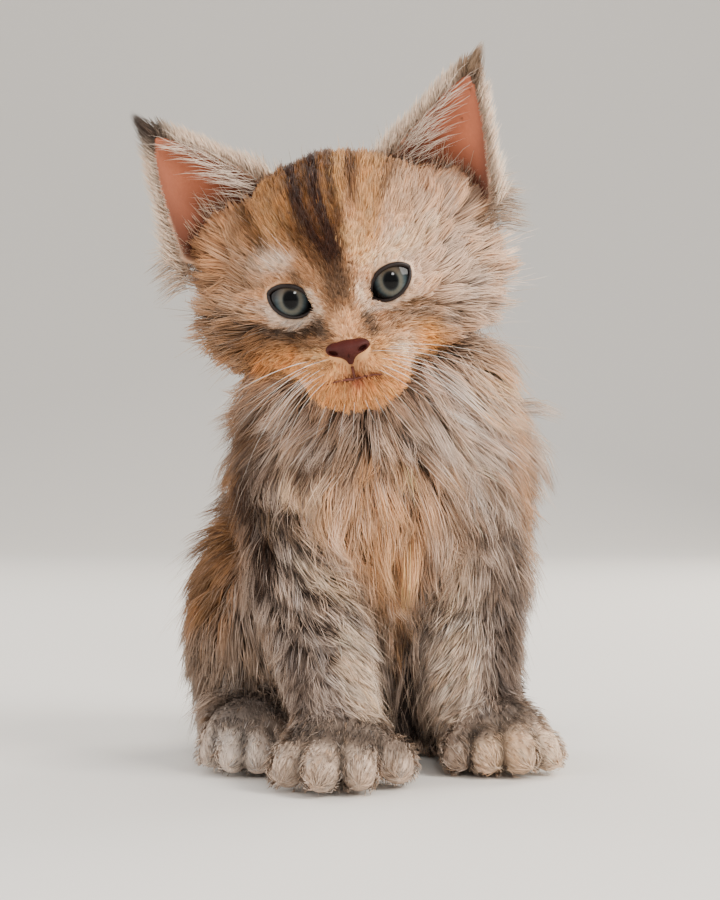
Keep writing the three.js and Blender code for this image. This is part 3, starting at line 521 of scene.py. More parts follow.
BODY_MARKS = [
    ((184, 168, 158), 1.0, 1.0, [(380, 480, 900, 900)]),
    ((176, 152, 136), 0.8, 0.6, [(262, 405, 40, 22)]),
    ((186, 168, 158), 0.7, 0.6, [(450, 395, 50, 30)]),
    ((176, 138, 106), 0.75, 0.5, [(505, 330, 14), (522, 400, 14), (532, 480, 12), (538, 560, 12)]),
    ((146, 112, 86), 1.0, 0.5, [(240, 402, 14), (222, 460, 26), (204, 540, 36), (200, 610, 34)]),
    ((92, 66, 46), 0.85, 0.5, [(232, 420, 8), (226, 470, 8)]),
    ((72, 48, 34), 1.0, 0.5, [(243, 400, 8), (243, 470, 11), (246, 525, 15), (268, 566, 13), (262, 600, 9)]),
    ((104, 82, 66), 0.75, 0.5, [(186, 560, 8), (196, 610, 12), (225, 640, 12), (250, 650, 8)]),
    ((96, 78, 66), 0.7, 0.5, [(200, 500, 7), (225, 520, 8)]),
    ((152, 134, 120), 0.6, 0.5, [(190, 665, 22), (240, 672, 20)]),
    ((104, 90, 80), 0.7, 0.5, [(190, 700, 9), (212, 690, 8), (245, 715, 8)]),
    ((176, 164, 156), 0.8, 0.5, [(232, 697, 12), (272, 704, 12)]),
    ((150, 122, 100), 0.8, 0.5, [(248, 414, 5), (292, 420, 6), (340, 446, 6)]),
    ((84, 62, 48), 0.95, 0.5, [(250, 484, 8), (293, 484, 8), (342, 474, 6)]),
    ((84, 62, 48), 0.8, 0.5, [(296, 436, 5), (330, 452, 6), (350, 462, 6)]),
    ((142, 114, 94), 0.6, 0.5, [(250, 448, 5), (300, 452, 5)]),
    ((66, 48, 38), 1.0, 0.5, [(256, 520, 11), (288, 542, 11), (312, 562, 9)]),
    ((204, 180, 158), 0.8, 0.5, [(276, 500, 9), (318, 510, 10), (325, 545, 8)]),
    # painted shadow under the chin: a dark brown band across the throat
    ((78, 52, 34), 0.95, 0.5, [(352, 430, 7), (382, 436, 13), (412, 448, 7)]),
    ((66, 46, 32), 0.8, 0.5, [(350, 460, 6), (345, 475, 5)]),
    ((198, 184, 176), 0.8, 0.5, [(376, 468, 26, 12)]),
    ((216, 200, 190), 0.95, 0.5, [(470, 440, 34), (500, 470, 26), (470, 490, 20)]),
    ((222, 198, 178), 0.9, 0.5, [(500, 380, 22), (512, 420, 18)]),
    ((132, 110, 96), 0.8, 0.5, [(415, 470, 5), (455, 500, 6), (512, 496, 7)]),
    ((86, 70, 62), 1.0, 0.5, [(446, 512, 6), (478, 544, 9), (522, 552, 9)]),
    ((208, 192, 182), 0.8, 0.5, [(470, 516, 8), (505, 522, 8)]),
    ((150, 130, 118), 0.6, 0.5, [(430, 430, 5), (480, 452, 5), (515, 450, 5)]),
    ((216, 180, 152), 1.0, 0.6, [(385, 515, 66, 42)]),
    ((184, 146, 118), 0.95, 0.6, [(390, 560, 10, 10)]),
    ((216, 178, 148), 1.0, 0.6, [(388, 540, 34), (392, 600, 20)]),
    ((212, 180, 154), 0.6, 0.5, [(352, 505, 10), (362, 560, 7)]),
    ((208, 176, 150), 0.5, 0.5, [(400, 500, 9), (396, 560, 7)]),
    ((128, 92, 66), 0.55, 0.5, [(376, 500, 4), (378, 560, 4)]),
    ((138, 102, 76), 0.5, 0.5, [(424, 520, 5), (414, 570, 4)]),
    # forelegs
    ((168, 154, 146), 0.9, 0.6, [(305, 590, 34), (330, 660, 38), (345, 720, 34)]),
    ((170, 156, 148), 0.9, 0.6, [(482, 590, 40), (476, 660, 42), (476, 720, 38)]),
    ((220, 204, 190), 0.8, 0.5, [(300, 570, 8), (345, 588, 10)]),
    ((66, 50, 42), 1.0, 0.5, [(258, 566, 7), (293, 583, 7), (322, 598, 7), (362, 624, 5)]),
    ((200, 184, 174), 0.7, 0.5, [(276, 592, 5), (320, 612, 6), (352, 622, 5)]),
    ((70, 56, 48), 1.0, 0.5, [(262, 608, 7), (300, 622, 7), (336, 634, 6), (368, 646, 4)]),
    ((84, 70, 62), 0.95, 0.5, [(280, 640, 7), (313, 658, 7), (336, 660, 5)]),
    ((108, 94, 86), 0.7, 0.5, [(292, 672, 5), (318, 684, 5), (336, 682, 4)]),
    ((104, 92, 86), 0.75, 0.5, [(290, 655, 8), (300, 703, 11), (306, 730, 9)]),
    ((238, 220, 204), 1.0, 0.5, [(350, 632, 10), (360, 686, 17), (374, 716, 15)]),
    ((202, 182, 164), 0.8, 0.5, [(322, 582, 9), (352, 604, 9)]),
    ((236, 218, 204), 1.0, 0.5, [(460, 578, 16), (456, 644, 23), (454, 708, 23)]),
    ((72, 58, 50), 1.0, 0.5, [(432, 612, 6), (462, 622, 7), (494, 616, 6)]),
    ((110, 94, 84), 0.7, 0.5, [(440, 586, 4), (462, 596, 4)]),
    ((116, 104, 98), 0.85, 0.5, [(516, 560, 10), (508, 623, 14), (508, 700, 14)]),
    ((86, 74, 68), 0.75, 0.5, [(498, 640, 5), (520, 655, 6)]),
    ((86, 74, 68), 0.75, 0.5, [(490, 690, 6), (516, 705, 7)]),
    # painted shade between the forelegs: a dark strip down the gap between the legs and between the paws
    ((52, 40, 34), 0.95, 0.5, [(404, 640, 9), (405, 690, 14), (407, 742, 14)]),
    ((104, 92, 86), 0.85, 0.5, [(284, 738, 6), (340, 738, 7), (400, 742, 6)]),
    ((112, 98, 90), 0.8, 0.5, [(440, 742, 6), (500, 722, 7), (525, 716, 6)]),
    ((205, 178, 152), 0.8, 0.5, [(530, 712, 9), (555, 726, 9)]),
]
PAW_MARKS = [
    ((176, 160, 150), 1.0, 1.0, [(380, 700, 900, 900)]),
    ((214, 204, 198), 0.9, 0.6, [(232, 752, 40, 34)]),
    ((188, 172, 160), 0.8, 0.6, [(340, 770, 80, 34)]),
    ((112, 98, 90), 0.8, 0.5, [(284, 736, 7), (345, 738, 8), (410, 748, 7)]),
    ((126, 112, 104), 0.7, 0.5, [(212, 722, 5), (240, 724, 6), (270, 730, 6)]),
    ((170, 152, 140), 0.8, 0.6, [(456, 762, 26, 22)]),
    ((206, 182, 160), 0.9, 0.6, [(508, 752, 34, 26)]),
    ((242, 222, 204), 0.95, 0.5, [(555, 748, 20, 30)]),
    ((112, 98, 90), 0.75, 0.5, [(436, 742, 6), (492, 730, 7), (520, 720, 6)]),
]


def paint_marks(col, c, marks, weight=None):
    for rgb, strength, soft, pts in marks:
        d = stroke_distance(c, pts)
        w = strength * (1 - sstep(1 - soft, 1 + soft, d))
        if weight is not None:
            w = w * weight
        k = w > 0.003
        col[k] += (srgb(*rgb) - col[k]) * w[k, None]
    return col


def wob(p, f, seed):
    """Cheap smooth noise, about -1 to 1."""
    r = np.random.RandomState(seed)
    v = np.zeros(len(p))
    for i in range(5):
        k = r.normal(size=3) * f * (0.7 + 0.35 * i)
        v += np.sin(p @ k + r.uniform(0, 6.28)) / (1 + 0.35 * i)
    return v / 2.6


def tabby(p):
    """Flank, back and tail: warm ticked ground with dark bars that follow the ribs."""
    s = 0.75 * p[:, 2] + 0.62 * p[:, 1] + 3.5 * wob(p, 0.05, 3)
    bar = sstep(0.15, 0.85, np.sin(s * 2 * np.pi / 21.0))
    spine = np.exp(-((p[:, 0] + 4 + 0.03 * p[:, 1]) / 7.5) ** 2)
    low = sstep(60, 15, p[:, 2])
    ground = srgb(160, 134, 112)[None] * (1 - low[:, None]) + srgb(146, 126, 112)[None] * low[:, None]
    ground = ground * (1 + 0.16 * wob(p, 0.16, 5))[:, None]
    dark = srgb(74, 54, 40)[None]
    w = np.clip(0.72 * bar + 0.8 * spine, 0, 0.88)[:, None]
    return ground * (1 - w) + dark * w


def tail_colour(p):
    pts = np.array([t[:3] for t in TAIL], float)
    seg = np.linalg.norm(np.diff(pts, axis=0), axis=1)
    cum = np.concatenate([[0], np.cumsum(seg)])
    best = np.full(len(p), 1e9)
    along = np.zeros(len(p))
    for i in range(len(seg)):
        d = pts[i + 1] - pts[i]
        t = np.clip(((p - pts[i]) @ d) / (d @ d), 0, 1)
        e = np.linalg.norm(p - pts[i] - t[:, None] * d, axis=1)
        k = e < best
        best[k] = e[k]
        along[k] = (cum[i] + t * seg[i])[k]
    ring = sstep(-0.1, 0.6, np.sin(along * 2 * np.pi / 16 + 0.6 * wob(p, 0.15, 9)))
    tip = sstep(cum[-1] - 18, cum[-1] - 4, along)
    w = np.clip(0.75 * ring + tip, 0, 0.92)[:, None]
    return srgb(146, 116, 92)[None] * (1 - w) + srgb(58, 42, 32)[None] * w


def weights(g):
    low = np.min(np.stack([g[n] for n in GN]), 0)
    w = {n: np.exp(-np.clip((g[n] - low) / 1.8, 0, 30)) for n in GN}
    tot = sum(w.values())
    return {n: w[n] / tot for n in GN}


def paint(p, n, w):
    """Colour of the coat at points p with outward normals n and part weights w."""
    c = chart(p)
    front = sstep(0.25, -0.25, n[:, 1])
    flank = sstep(0.72, 0.2, n[:, 1]) * sstep(0.0, 0.4, -n[:, 0]) * sstep(-28, -36, p[:, 0]) * (1 - w["pawHR"])
    front = np.clip(np.maximum(front, flank), 0, 1)
    wh = w["head"]
    wp = w["pawFL"] + w["pawFR"] + w["pawHL"] + w["pawHR"]
    wt = w["tail"]
    wb = np.clip(1 - wh - wp - wt, 0, 1)
    side = tabby(p)
    body = paint_marks(side.copy(), c, BODY_MARKS)
    body = side + (body - side) * front[:, None]
    q = head_local(p.astype(F4)).astype(float)
    # crown, back of the head and nape: brown with darker lines running back
    a = np.arctan2(q[:, 0], np.maximum(q[:, 2] + 30, 1))
    lines = sstep(0.1, 0.9, np.sin(a * 30 + 0.8 * wob(p, 0.08, 12))) * sstep(-8, 8, q[:, 2])
    back = srgb(158, 122, 92)[None] * (1 - 0.6 * lines[:, None]) + srgb(72, 50, 34)[None] * 0.6 * lines[:, None]
    head = paint_marks(back.copy(), c, HEAD_MARKS)
    hf = sstep(0.55, -0.05, (n @ HEAD_R[:, 1]))
    head = back + (head - back) * hf[:, None]
    paws = paint_marks(side.copy(), c, PAW_MARKS)
    toe = sstep(17.5, 11.0, p[:, 2])[:, None]
    streak = (0.5 + 0.5 * wob(p, 0.9, 61))[:, None]
    paws = paws * (0.50 + 0.50 * toe) * (1 - 0.30 * streak) + srgb(232, 216, 202)[None] * (0.22 * toe * (1 - streak))
    paws = srgb(150, 134, 122)[None] * (1 - front[:, None]) + paws * front[:, None]
    col = head * wh[:, None] + body * wb[:, None] + paws * wp[:, None]
    if wt.max() > 0.01:
        col = col + tail_colour(p) * wt[:, None]
    return grade(col)


def grade(c):
    """Deeper contrast and colour than the marks' own, for the soft light of the set."""
    c = np.clip(c, 0.0005, 1)
    L = (c @ np.array([0.2126, 0.7152, 0.0722]))[:, None]
    c = L + (c - L) * 1.38
    L = np.clip(L, 0.001, 1)
    M = 0.84 * (L / 0.62) ** 1.40
    M = M / (1 + (M / 0.70) ** 4) ** 0.25
    c = c * M / L
    c = c * np.array([1.03, 1.0, 0.955])
    over = np.maximum(c.max(1, keepdims=True) / 0.86, 1)
    return np.clip(c / over, 0.001, 0.9)


def toe_cleft_shade(p):
    """1 in the clefts between toes: the weight of the painted shade that darkens skin and strands there."""
    out = np.zeros(len(p))
    for s in (1, -1):
        for paw in (FOREPAW[s], HINDPAW[s]):
            k = np.where((np.linalg.norm(p[:, :2] - np.array(paw["c"][:2]), axis=1) < 30) & (p[:, 2] < 20))[0]
            if not len(k):
                continue
            t = []
            paw_field(p[k].astype(F4), paw, t)
            t = np.sort(np.stack(t), 0)
            out[k] = np.maximum(out[k], np.exp(-((t[1] - t[0]) / 2.0) ** 2) * sstep(8.0, 3.0, t[0]) * sstep(15.5, 11.5, p[k, 2]))
    return out


# =====================================================================
# meshes
# =====================================================================
MM = 0.001


def to_row(p):
    return (np.asarray(p, float) + SHIFT) * MM


def make_mesh(name, verts, faces, colour=None, uv=None, smooth=True, sides=None):
    """faces: array of triangles or quads. colour: per vertex, linear. uv: per vertex."""
    me = bpy.data.meshes.new(name)
    k = faces.shape[1]
    me.vertices.add(len(verts))
    me.vertices.foreach_set("co", to_row(verts).astype(np.float32).ravel())
    me.loops.add(len(faces) * k)
    me.loops.foreach_set("vertex_index", faces.astype(np.int32).ravel())
    me.polygons.add(len(faces))
    me.polygons.foreach_set("loop_start", (np.arange(len(faces)) * k).astype(np.int32))
    me.polygons.foreach_set("use_smooth", np.full(len(faces), smooth))
    me.update(calc_edges=True)
    if colour is not None:
        a = me.color_attributes.new("Coat", "FLOAT_COLOR", "POINT")
        rgba = np.ones((len(verts), 4), np.float32)
        rgba[:, :3] = np.clip(colour, 0, 1)
        a.data.foreach_set("color", rgba.ravel())
    if uv is not None:
        layer = me.uv_layers.new(name="OFBake")
        layer.data.foreach_set("uv", uv[faces.ravel()].astype(np.float32).ravel())
    o = bpy.data.objects.new(name, me)
    bpy.context.scene.collection.objects.link(o)
    return o


def hair_material(name, rough=0.66, sheen=0.04, spread=0.10):
    m = bpy.data.materials.new(name)
    m.use_nodes = True
    nt = m.node_tree
    b = nt.nodes["Principled BSDF"]
    at = nt.nodes.new("ShaderNodeAttribute")
    at.attribute_name = "Coat"
    tc = nt.nodes.new("ShaderNodeTexCoord")
    no = nt.nodes.new("ShaderNodeTexNoise")
    no.inputs["Scale"].default_value = 900
    no.inputs["Detail"].default_value = 2
    nt.links.new(tc.outputs["Object"], no.inputs["Vector"])
    mr = nt.nodes.new("ShaderNodeMapRange")
    mr.inputs["To Min"].default_value = 1 - spread
    mr.inputs["To Max"].default_value = 1 + spread
    nt.links.new(no.outputs["Fac"], mr.inputs["Value"])
    mx = nt.nodes.new("ShaderNodeMix")
    mx.data_type = "RGBA"
    mx.blend_type = "MULTIPLY"
    mx.inputs["Factor"].default_value = 1.0
    nt.links.new(at.outputs["Color"], mx.inputs["A"])
    nt.links.new(mr.outputs["Result"], mx.inputs["B"])
    nt.links.new(mx.outputs["Result"], b.inputs["Base Color"])
    b.inputs["Roughness"].default_value = rough
    b.inputs["Specular IOR Level"].default_value = 0.2
    b.inputs["Sheen Weight"].default_value = sheen
    b.inputs["Sheen Roughness"].default_value = 0.5
    return m


def add_bump(m, scale=1400, strength=0.4, dist=0.0004):
    nt = m.node_tree
    b = nt.nodes["Principled BSDF"]
    tc = nt.nodes.new("ShaderNodeTexCoord")
    no = nt.nodes.new("ShaderNodeTexNoise")
    no.inputs["Scale"].default_value = scale
    no.inputs["Detail"].default_value = 4
    bp = nt.nodes.new("ShaderNodeBump")
    bp.inputs["Strength"].default_value = strength
    bp.inputs["Distance"].default_value = dist
    nt.links.new(tc.outputs["Object"], no.inputs["Vector"])
    nt.links.new(no.outputs["Fac"], bp.inputs["Height"])
    nt.links.new(bp.outputs["Normal"], b.inputs["Normal"])


MAT_FUR = hair_material("fur_strands")
MAT_SKIN = hair_material("undercoat_skin", rough=0.8, sheen=0.05)
add_bump(MAT_SKIN)
MAT_FINE = hair_material("fine_hair", rough=0.5, sheen=0.08)


def tris_of(q):
    return np.concatenate([q[:, [0, 1, 2]], q[:, [0, 2, 3]]])


# ---------------------------------------------------------------- skin
LO, HI = (-74, -20, -4), (74, 182, 206)
t = time.time()
SKIN_H = 1.12
sv, sq = nets(skin, LO, HI, SKIN_H)
sv, sn = project(skin, sv, 2, SKIN_H * 0.5)
print("skin", len(sv), len(sq), round(time.time() - t, 1))

g_, q_, qa_ = group_fields(sv)
w_ = weights(g_)
base = paint(sv.astype(float), sn, w_)
cleft_shade = toe_cleft_shade(sv.astype(float))
# painted shade: the skin under the coat darkened, less where the coat is thin
thin = 1 - sstep(1.6, 4.0, coat_depth(sv, g_, qa_))
shade = 0.60 + 0.30 * thin
scol = base * shade[:, None]
# painted shade in the clefts between the toes
scol *= (1 - 0.75 * cleft_shade)[:, None]


# ears: bare pink-orange inside, furred outside
def ear_inside(q):
    """Weight of the ear's inner face, and how far along the ear."""
    out = np.zeros(len(q))
    along = np.zeros(len(q))
    onear = np.zeros(len(q))
    acr = np.zeros(len(q))
    for s in (1, -1):
        W, A, B, half, dep, u = ear_coords(q.astype(F4), s)
        k = (W > -4) & (np.abs(A) < half + 2.5) & (W < EARS[s]["L"] + 2) & (np.abs(B - (dep * (1 - u * u) - 2)) < 4)
        e = ear_field(q.astype(F4), s)
        k = k & (e < 1.2)
        side = B - (dep * (1 - u * u) - 2)
        w = sstep(0.2, -0.2, side) * sstep(1.05, 0.86, np.abs(u))
        out = np.where(k, np.maximum(out, w), out)
        along = np.where(k, W / EARS[s]["L"], along)
        onear = np.where(k, 1, onear)
        acr = np.where(k, u, acr)
    return out, along, onear, acr


ein, eal, eon, eac = ear_inside(q_)
# the inside's pink, with painted shade towards the base and towards the edges; the right ear's inside darker as a
# whole
inner = srgb(164, 96, 70)[None] * (1.1 - 0.6 * sstep(0.55, 0.0, eal))[:, None] * (1 - 0.35 * sstep(0.45, 0.9, np.abs(eac)))[:, None] * np.where(q_[:, 0] < 0, 0.72, 1.0)[:, None]
inner = inner + srgb(120, 70, 50)[None] * (0.5 * np.exp(-((eac - 0.2) / 0.35) ** 2) * np.exp(-((eal - 0.45) / 0.25) ** 2))[:, None]
inner = inner * (1 + 0.12 * wob(sv, 0.3, 31))[:, None]
rimc = srgb(206, 168, 140)[None]
outc = srgb(122, 98, 78)[None] * (1 - 0.5 * sstep(0.7, 1.0, eal))[:, None]
earcol = outc * (1 - ein)[:, None] + inner * ein[:, None]
edge = sstep(0.8, 1.0, np.abs(eac)) * eon
earcol = earcol * (1 - edge)[:, None] + rimc * edge[:, None]
ek = eon * sstep(-0.12, 0.05, eal)
scol = scol * (1 - ek)[:, None] + earcol * ek[:, None]

# dark skin round the eyes and on the lips
rim = opening(qa_)
nearlid = sstep(1.4, 0.5, rim) * (qa_[:, 1] < -17) * (np.abs(qa_[:, 2] - EYE[2]) < 8)
scol = scol * (1 - nearlid)[:, None] + srgb(44, 28, 22)[None] * nearlid[:, None]
lip = sstep(1.2, 0.2, np.abs(qa_[:, 2] + 27.0 + 0.012 * qa_[:, 0] ** 2 - 0.10 * qa_[:, 0])) * (qa_[:, 1] < -30) * sstep(9.5, 7.5, qa_[:, 0])
scol = scol * (1 - 0.8 * lip)[:, None] + srgb(96, 44, 32)[None] * 0.8 * lip[:, None]

skin_obj = make_mesh("skin", sv, sq, scol)
skin_obj.data.materials.append(MAT_SKIN)
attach(skin_obj, "root")
FLESH = [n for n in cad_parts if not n.startswith("eye_") and n != "nose"]
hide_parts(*FLESH)

# =====================================================================
# fur
# =====================================================================
rng = np.random.RandomState(7)


def flow_field(p, n, w):
    """Lie of the coat: unit tangents."""
    q = head_local(p.astype(F4)).astype(float)
    v = np.zeros_like(p)
    # head: away from the nose; on the cheeks a little down and back
    h = q - np.array([0, -43.0, -17.0])
    h = unit(h)
    cheek = sstep(-2, -20, q[:, 2]) * sstep(12, 26, np.abs(q[:, 0]))
    h[:, 2] -= 0.35 * cheek
    backh = sstep(0, 25, q[:, 1])
    h[:, 2] -= 1.2 * backh
    v += (h @ HEAD_R.T) * w["head"][:, None]
    # neck and trunk: down, parted at the breast, swept back along the flanks
    x = p[:, 0] + 4
    up = sstep(92, 118, p[:, 2])
    fan = np.tanh(x / 14.0)
    frontness = sstep(0.1, -0.5, n[:, 1])
    sway = 0.28 * wob(p, 0.10, 41)
    tr = np.stack([fan * (0.35 + 0.72 * up) * frontness + 0.10 * np.sign(x) + sway, 0.35 + 0.35 * (1 - frontness), -1.0 + 0.15 * wob(p, 0.09, 42)], 1)
    lowc = sstep(88, 70, p[:, 2]) * frontness
    tr[:, 0] -= 0.45 * fan * lowc
    for k in ("neck", "trunk"):
        v += unit(tr) * w[k][:, None]
    th = np.stack([0 * x, 0.15 + 0 * x, -1 + 0 * x], 1)
    for k in ("thighL", "thighR"):
        v += unit(th) * w[k][:, None]
    for k, s in SIDE.items():
        pts, rr = FORELEG[s]
        a = np.array(pts[1], float)
        b = np.array(pts[2], float)
        d = unit((b - a)[None])[0]
        cx = np.interp(p[:, 2], [20, 54, 84], [pts[2][0], pts[1][0], pts[0][0]])
        off = np.clip((p[:, 0] - cx) / 12.0, -1, 1)
        lf = np.tile(d, (len(p), 1))
        lf[:, 0] += 0.35 * off - 0.22 * s
        lf[:, 1] += 0.15
        v += unit(lf) * w["fore" + k][:, None]
        for paw, nm in ((FOREPAW[s], "pawF"), (HINDPAW[s], "pawH")):
            c = np.array(paw["c"], float)
            t = np.radians(paw["turn"])
            f = np.array([np.sin(t), -np.cos(t), -0.45])
            pf = np.tile(f, (len(p), 1))
            pf[:, :2] += 0.25 * unit(p[:, :2] - c[:2])
            v += unit(pf) * w[nm + k][:, None]
    if w["tail"].max() > 0.01:
        pts = np.array([a[:3] for a in TAIL], float)
        best = np.full(len(p), 1e9)
        tv = np.zeros_like(p)
        for i in range(len(pts) - 1):
            d = pts[i + 1] - pts[i]
            t = np.clip(((p - pts[i]) @ d) / (d @ d), 0, 1)
            e = np.linalg.norm(p - pts[i] - t[:, None] * d, axis=1)
            k = e < best
            best[k] = e[k]
            tv[k] = d / np.linalg.norm(d)
        v += tv * w["tail"][:, None]
    v -= n * np.einsum("ij,ij->i", v, n)[:, None]
    return unit(v)


def body_skin(p):
    """Skin without the ears, for laying the coat."""
    p = np.asarray(p, F4)
    g, q, qa = group_fields(p)
    return smax(under_coat(p, g, qa), 0.35 - p[:, 2], 0.5)


def length_of(p, n, q, w, depth):
    """Strand length, mm."""
    qa = np.abs(q[:, 0])
    face = sstep(-8, -28, q[:, 1])
    L_head = 11.5 - 7.0 * face
    L_head = np.where(q[:, 2] > 12, np.minimum(L_head, 6.5), L_head)
    muz = sstep(-24, -34, q[:, 1])
    L_head = L_head + 3.5 * sstep(22, 30, qa) * sstep(6, -14, q[:, 2])
    L_head = L_head * (1 - muz) + 2.3 * muz
    eye = np.exp(-(((qa - 13.4) / 9) ** 2 + ((q[:, 2] + 4) / 7) ** 2)) * (q[:, 1] < -10)
    L_head = L_head * (1 - 0.45 * eye)
    chin = sstep(-24, -32, q[:, 2]) * sstep(-14, -22, q[:, 1])
    L_head = L_head * (1 - chin) + 6.5 * chin
    L_leg = 6.5 + 6.5 * sstep(25, 80, p[:, 2])
    L = L_head * w["head"] + 17.0 * w["neck"] + 17.5 * w["trunk"] + 14.0 * (w["thighL"] + w["thighR"]) + 12.0 * w["tail"]
    L = L + L_leg * (w["foreL"] + w["foreR"])
    paws = w["pawFL"] + w["pawFR"] + w["pawHL"] + w["pawHR"]
    L = L + 4.0 * paws
    return L


# coarse skin, used for placing roots and for the unwrap that the OFBake map follows
t = time.time()
cv, cq = nets(body_skin, LO, HI, 2.6)
cv, cn = project(body_skin, cv, 2, 1.2)
ct = tris_of(cq)
cc = cv[ct].mean(1)
cnorm = unit(np.cross(cv[ct[:, 1]] - cv[ct[:, 0]], cv[ct[:, 2]] - cv[ct[:, 0]]))
carea = np.linalg.norm(np.cross(cv[ct[:, 1]] - cv[ct[:, 0]], cv[ct[:, 2]] - cv[ct[:, 0]]), axis=1) / 2
cg, cq_, cqa = group_fields(cc.astype(F4))
cw = weights(cg)
REG = np.stack([cw[n] for n in GN]).argmax(0)
print("coarse", len(cv), len(ct), round(time.time() - t, 1))

hl = cq_
is_head = REG == GN.index("head")
leg_ids = [GN.index(n) for n in ("foreL", "foreR", "pawFL", "pawFR")]
hind_ids = [GN.index(n) for n in ("thighL", "thighR", "pawHL", "pawHR")]
region = np.full(len(ct), "flank", dtype=object)
region[is_head & (hl[:, 1] < -6)] = "face"
region[is_head & (hl[:, 1] >= -6)] = "crown"
body = (REG == GN.index("trunk")) | (REG == GN.index("neck"))
region[body & (cnorm[:, 1] < 0.05)] = "breast"
region[body & (cnorm[:, 1] >= 0.05)] = "back"
region[np.isin(REG, leg_ids)] = "forelegs"
region[np.isin(REG, hind_ids)] = "hindlegs"
region[np.isin(REG, [GN.index(n) for n in ("pawFL", "pawFR", "pawHL", "pawHR")])] = "paws"
region[REG == GN.index("tail")] = "tail"
cheek = is_head & (np.abs(hl[:, 0]) > 21) & (hl[:, 1] < 16)
region[cheek] = "cheeks"

# strands, segments, width at the root, lock spacing, clumping
SPEC = {
    "face": dict(n=19500, seg=2, width=0.18, lock=1.7, clump=0.45, rise=0.95),
    "cheeks": dict(n=12000, seg=3, width=0.21, lock=3.2, clump=0.66, rise=1.25, bend=0.16),
    "crown": dict(n=10000, seg=2, width=0.25, lock=2.4, clump=0.50, rise=1.05),
    "breast": dict(n=12300, seg=3, width=0.25, lock=5.0, clump=0.80, rise=1.15, bend=0.24),
    "breast2": dict(n=9000, seg=2, width=0.20, lock=3.6, clump=0.55, rise=1.2, bend=0.2),
    "forelegs": dict(n=9000, seg=3, width=0.22, lock=3.4, clump=0.66, rise=1.15, bend=0.18),
    "forelegs2": dict(n=6000, seg=2, width=0.18, lock=2.2, clump=0.45, rise=1.05),
    "paws": dict(n=13500, seg=2, width=0.22, lock=1.9, clump=0.42, rise=1.35),
    "hindlegs": dict(n=10000, seg=2, width=0.28, lock=3.4, clump=0.60, rise=1.0),
    "back": dict(n=11000, seg=2, width=0.38, lock=4.2, clump=0.60, rise=1.0),
    "tail": dict(n=4500, seg=2, width=0.38, lock=3.6, clump=0.50, rise=1.0),
}
FACTOR = 1.0


def unwrap(mask):
    """Smart unwrap of the coarse skin's faces in the mask; uv per face corner."""
    f = ct[mask]
    used, inv = np.unique(f, return_inverse=True)
    me = bpy.data.meshes.new("unwrap")
    me.from_pydata([tuple(x) for x in cv[used].tolist()], [], inv.reshape(-1, 3).tolist())
    me.update()
    o = bpy.data.objects.new("unwrap", me)
    bpy.context.scene.collection.objects.link(o)
    bpy.ops.object.select_all(action="DESELECT")
    bpy.context.view_layer.objects.active = o
    o.select_set(True)
    bpy.ops.object.mode_set(mode="EDIT")
    bpy.ops.mesh.select_all(action="SELECT")
    bpy.ops.uv.smart_project(angle_limit=1.15, island_margin=0.004, scale_to_bounds=True)
    bpy.ops.object.mode_set(mode="OBJECT")
    uv = np.zeros(len(me.loops) * 2, np.float32)
    me.uv_layers.active.data.foreach_get("uv", uv)
    bpy.data.objects.remove(o)
    bpy.data.meshes.remove(me)
    return uv.reshape(-1, 3, 2)


def trace(P, N, w, L, steps):
    """Walk along the lie of the coat on the skin: points and normals at steps + 1 stations."""
    pts, nrm = [P.astype(float)], [N.astype(float)]
    for s in range(steps):
        f = flow_field(pts[-1], nrm[-1], w)
        if s > 0:
            f = unit(0.6 * f + 0.4 * prev)
        prev = f
        x = pts[-1] + f * (L / steps)[:, None]
        x, nn = project(body_skin, x, 1, 4.0)
        pts.append(x.astype(float))
        nrm.append(nn.astype(float))
    return pts, nrm


def strand_mesh(paths, up, width, colours, uv0, prof=None):
    """Closed three-sided tapered strands. paths (N,m+1,3), up (N,m+1,3), colours (N,m+1,3)."""
    N, M = paths.shape[0], paths.shape[1]
    tan = np.empty_like(paths)
    tan[:, :-1] = paths[:, 1:] - paths[:, :-1]
    tan[:, -1] = tan[:, -2]
    tan[:, 1:-1] = paths[:, 2:] - paths[:, :-2]
    tan = unit(tan)
    side = unit(np.cross(tan, up))
    upn = np.cross(side, tan)
    s = np.linspace(0, 1, M)
    r = (np.array([0.85, 1.0, 0.72, 0.4]) if M == 4 else np.array([0.9, 1.0, 0.4]))[:M - 1] if prof is None else prof
    rings = []
    cols = []
    for k in range(M - 1):
        wd = (width * r[k])[:, None] * 0.5
        c = paths[:, k]
        rings += [c - side[:, k] * wd, c + side[:, k] * wd, c + upn[:, k] * wd * 0.8]
        # painted shade: the two side corners of each ring a tenth darker than the corner away from the skin
        cols += [colours[:, k] * 0.9, colours[:, k] * 0.9, colours[:, k]]
    rings.append(paths[:, -1])
    cols.append(colours[:, -1])
    V = np.stack(rings, 1)
    C = np.stack(cols, 1)
    nv = V.shape[1]
    f = [(0, 1, 2)]
    for k in range(M - 2):
        a, b = 3 * k, 3 * k + 3
        for i in range(3):
            j = (i + 1) % 3
            f += [(a + i, b + i, b + j), (a + i, b + j, a + j)]
    a = 3 * (M - 2)
    for i in range(3):
        f.append((a + i, nv - 1, a + (i + 1) % 3))
    f = np.array(f)
    faces = (np.arange(N)[:, None, None] * nv + f[None]).reshape(-1, 3)
    # a patch 0.003 across at the root's place on the unwrap
    pu = np.array([[(i % 3) / 2.0, (i // 3) / max(M - 1, 1)] for i in range(nv)])
    pu[-1] = (0.5, 1.0)
    U = uv0[:, None, :] + (pu[None] - 0.5) * 0.003
    return V.reshape(-1, 3), faces, C.reshape(-1, 3), np.clip(U.reshape(-1, 2), 0, 1)


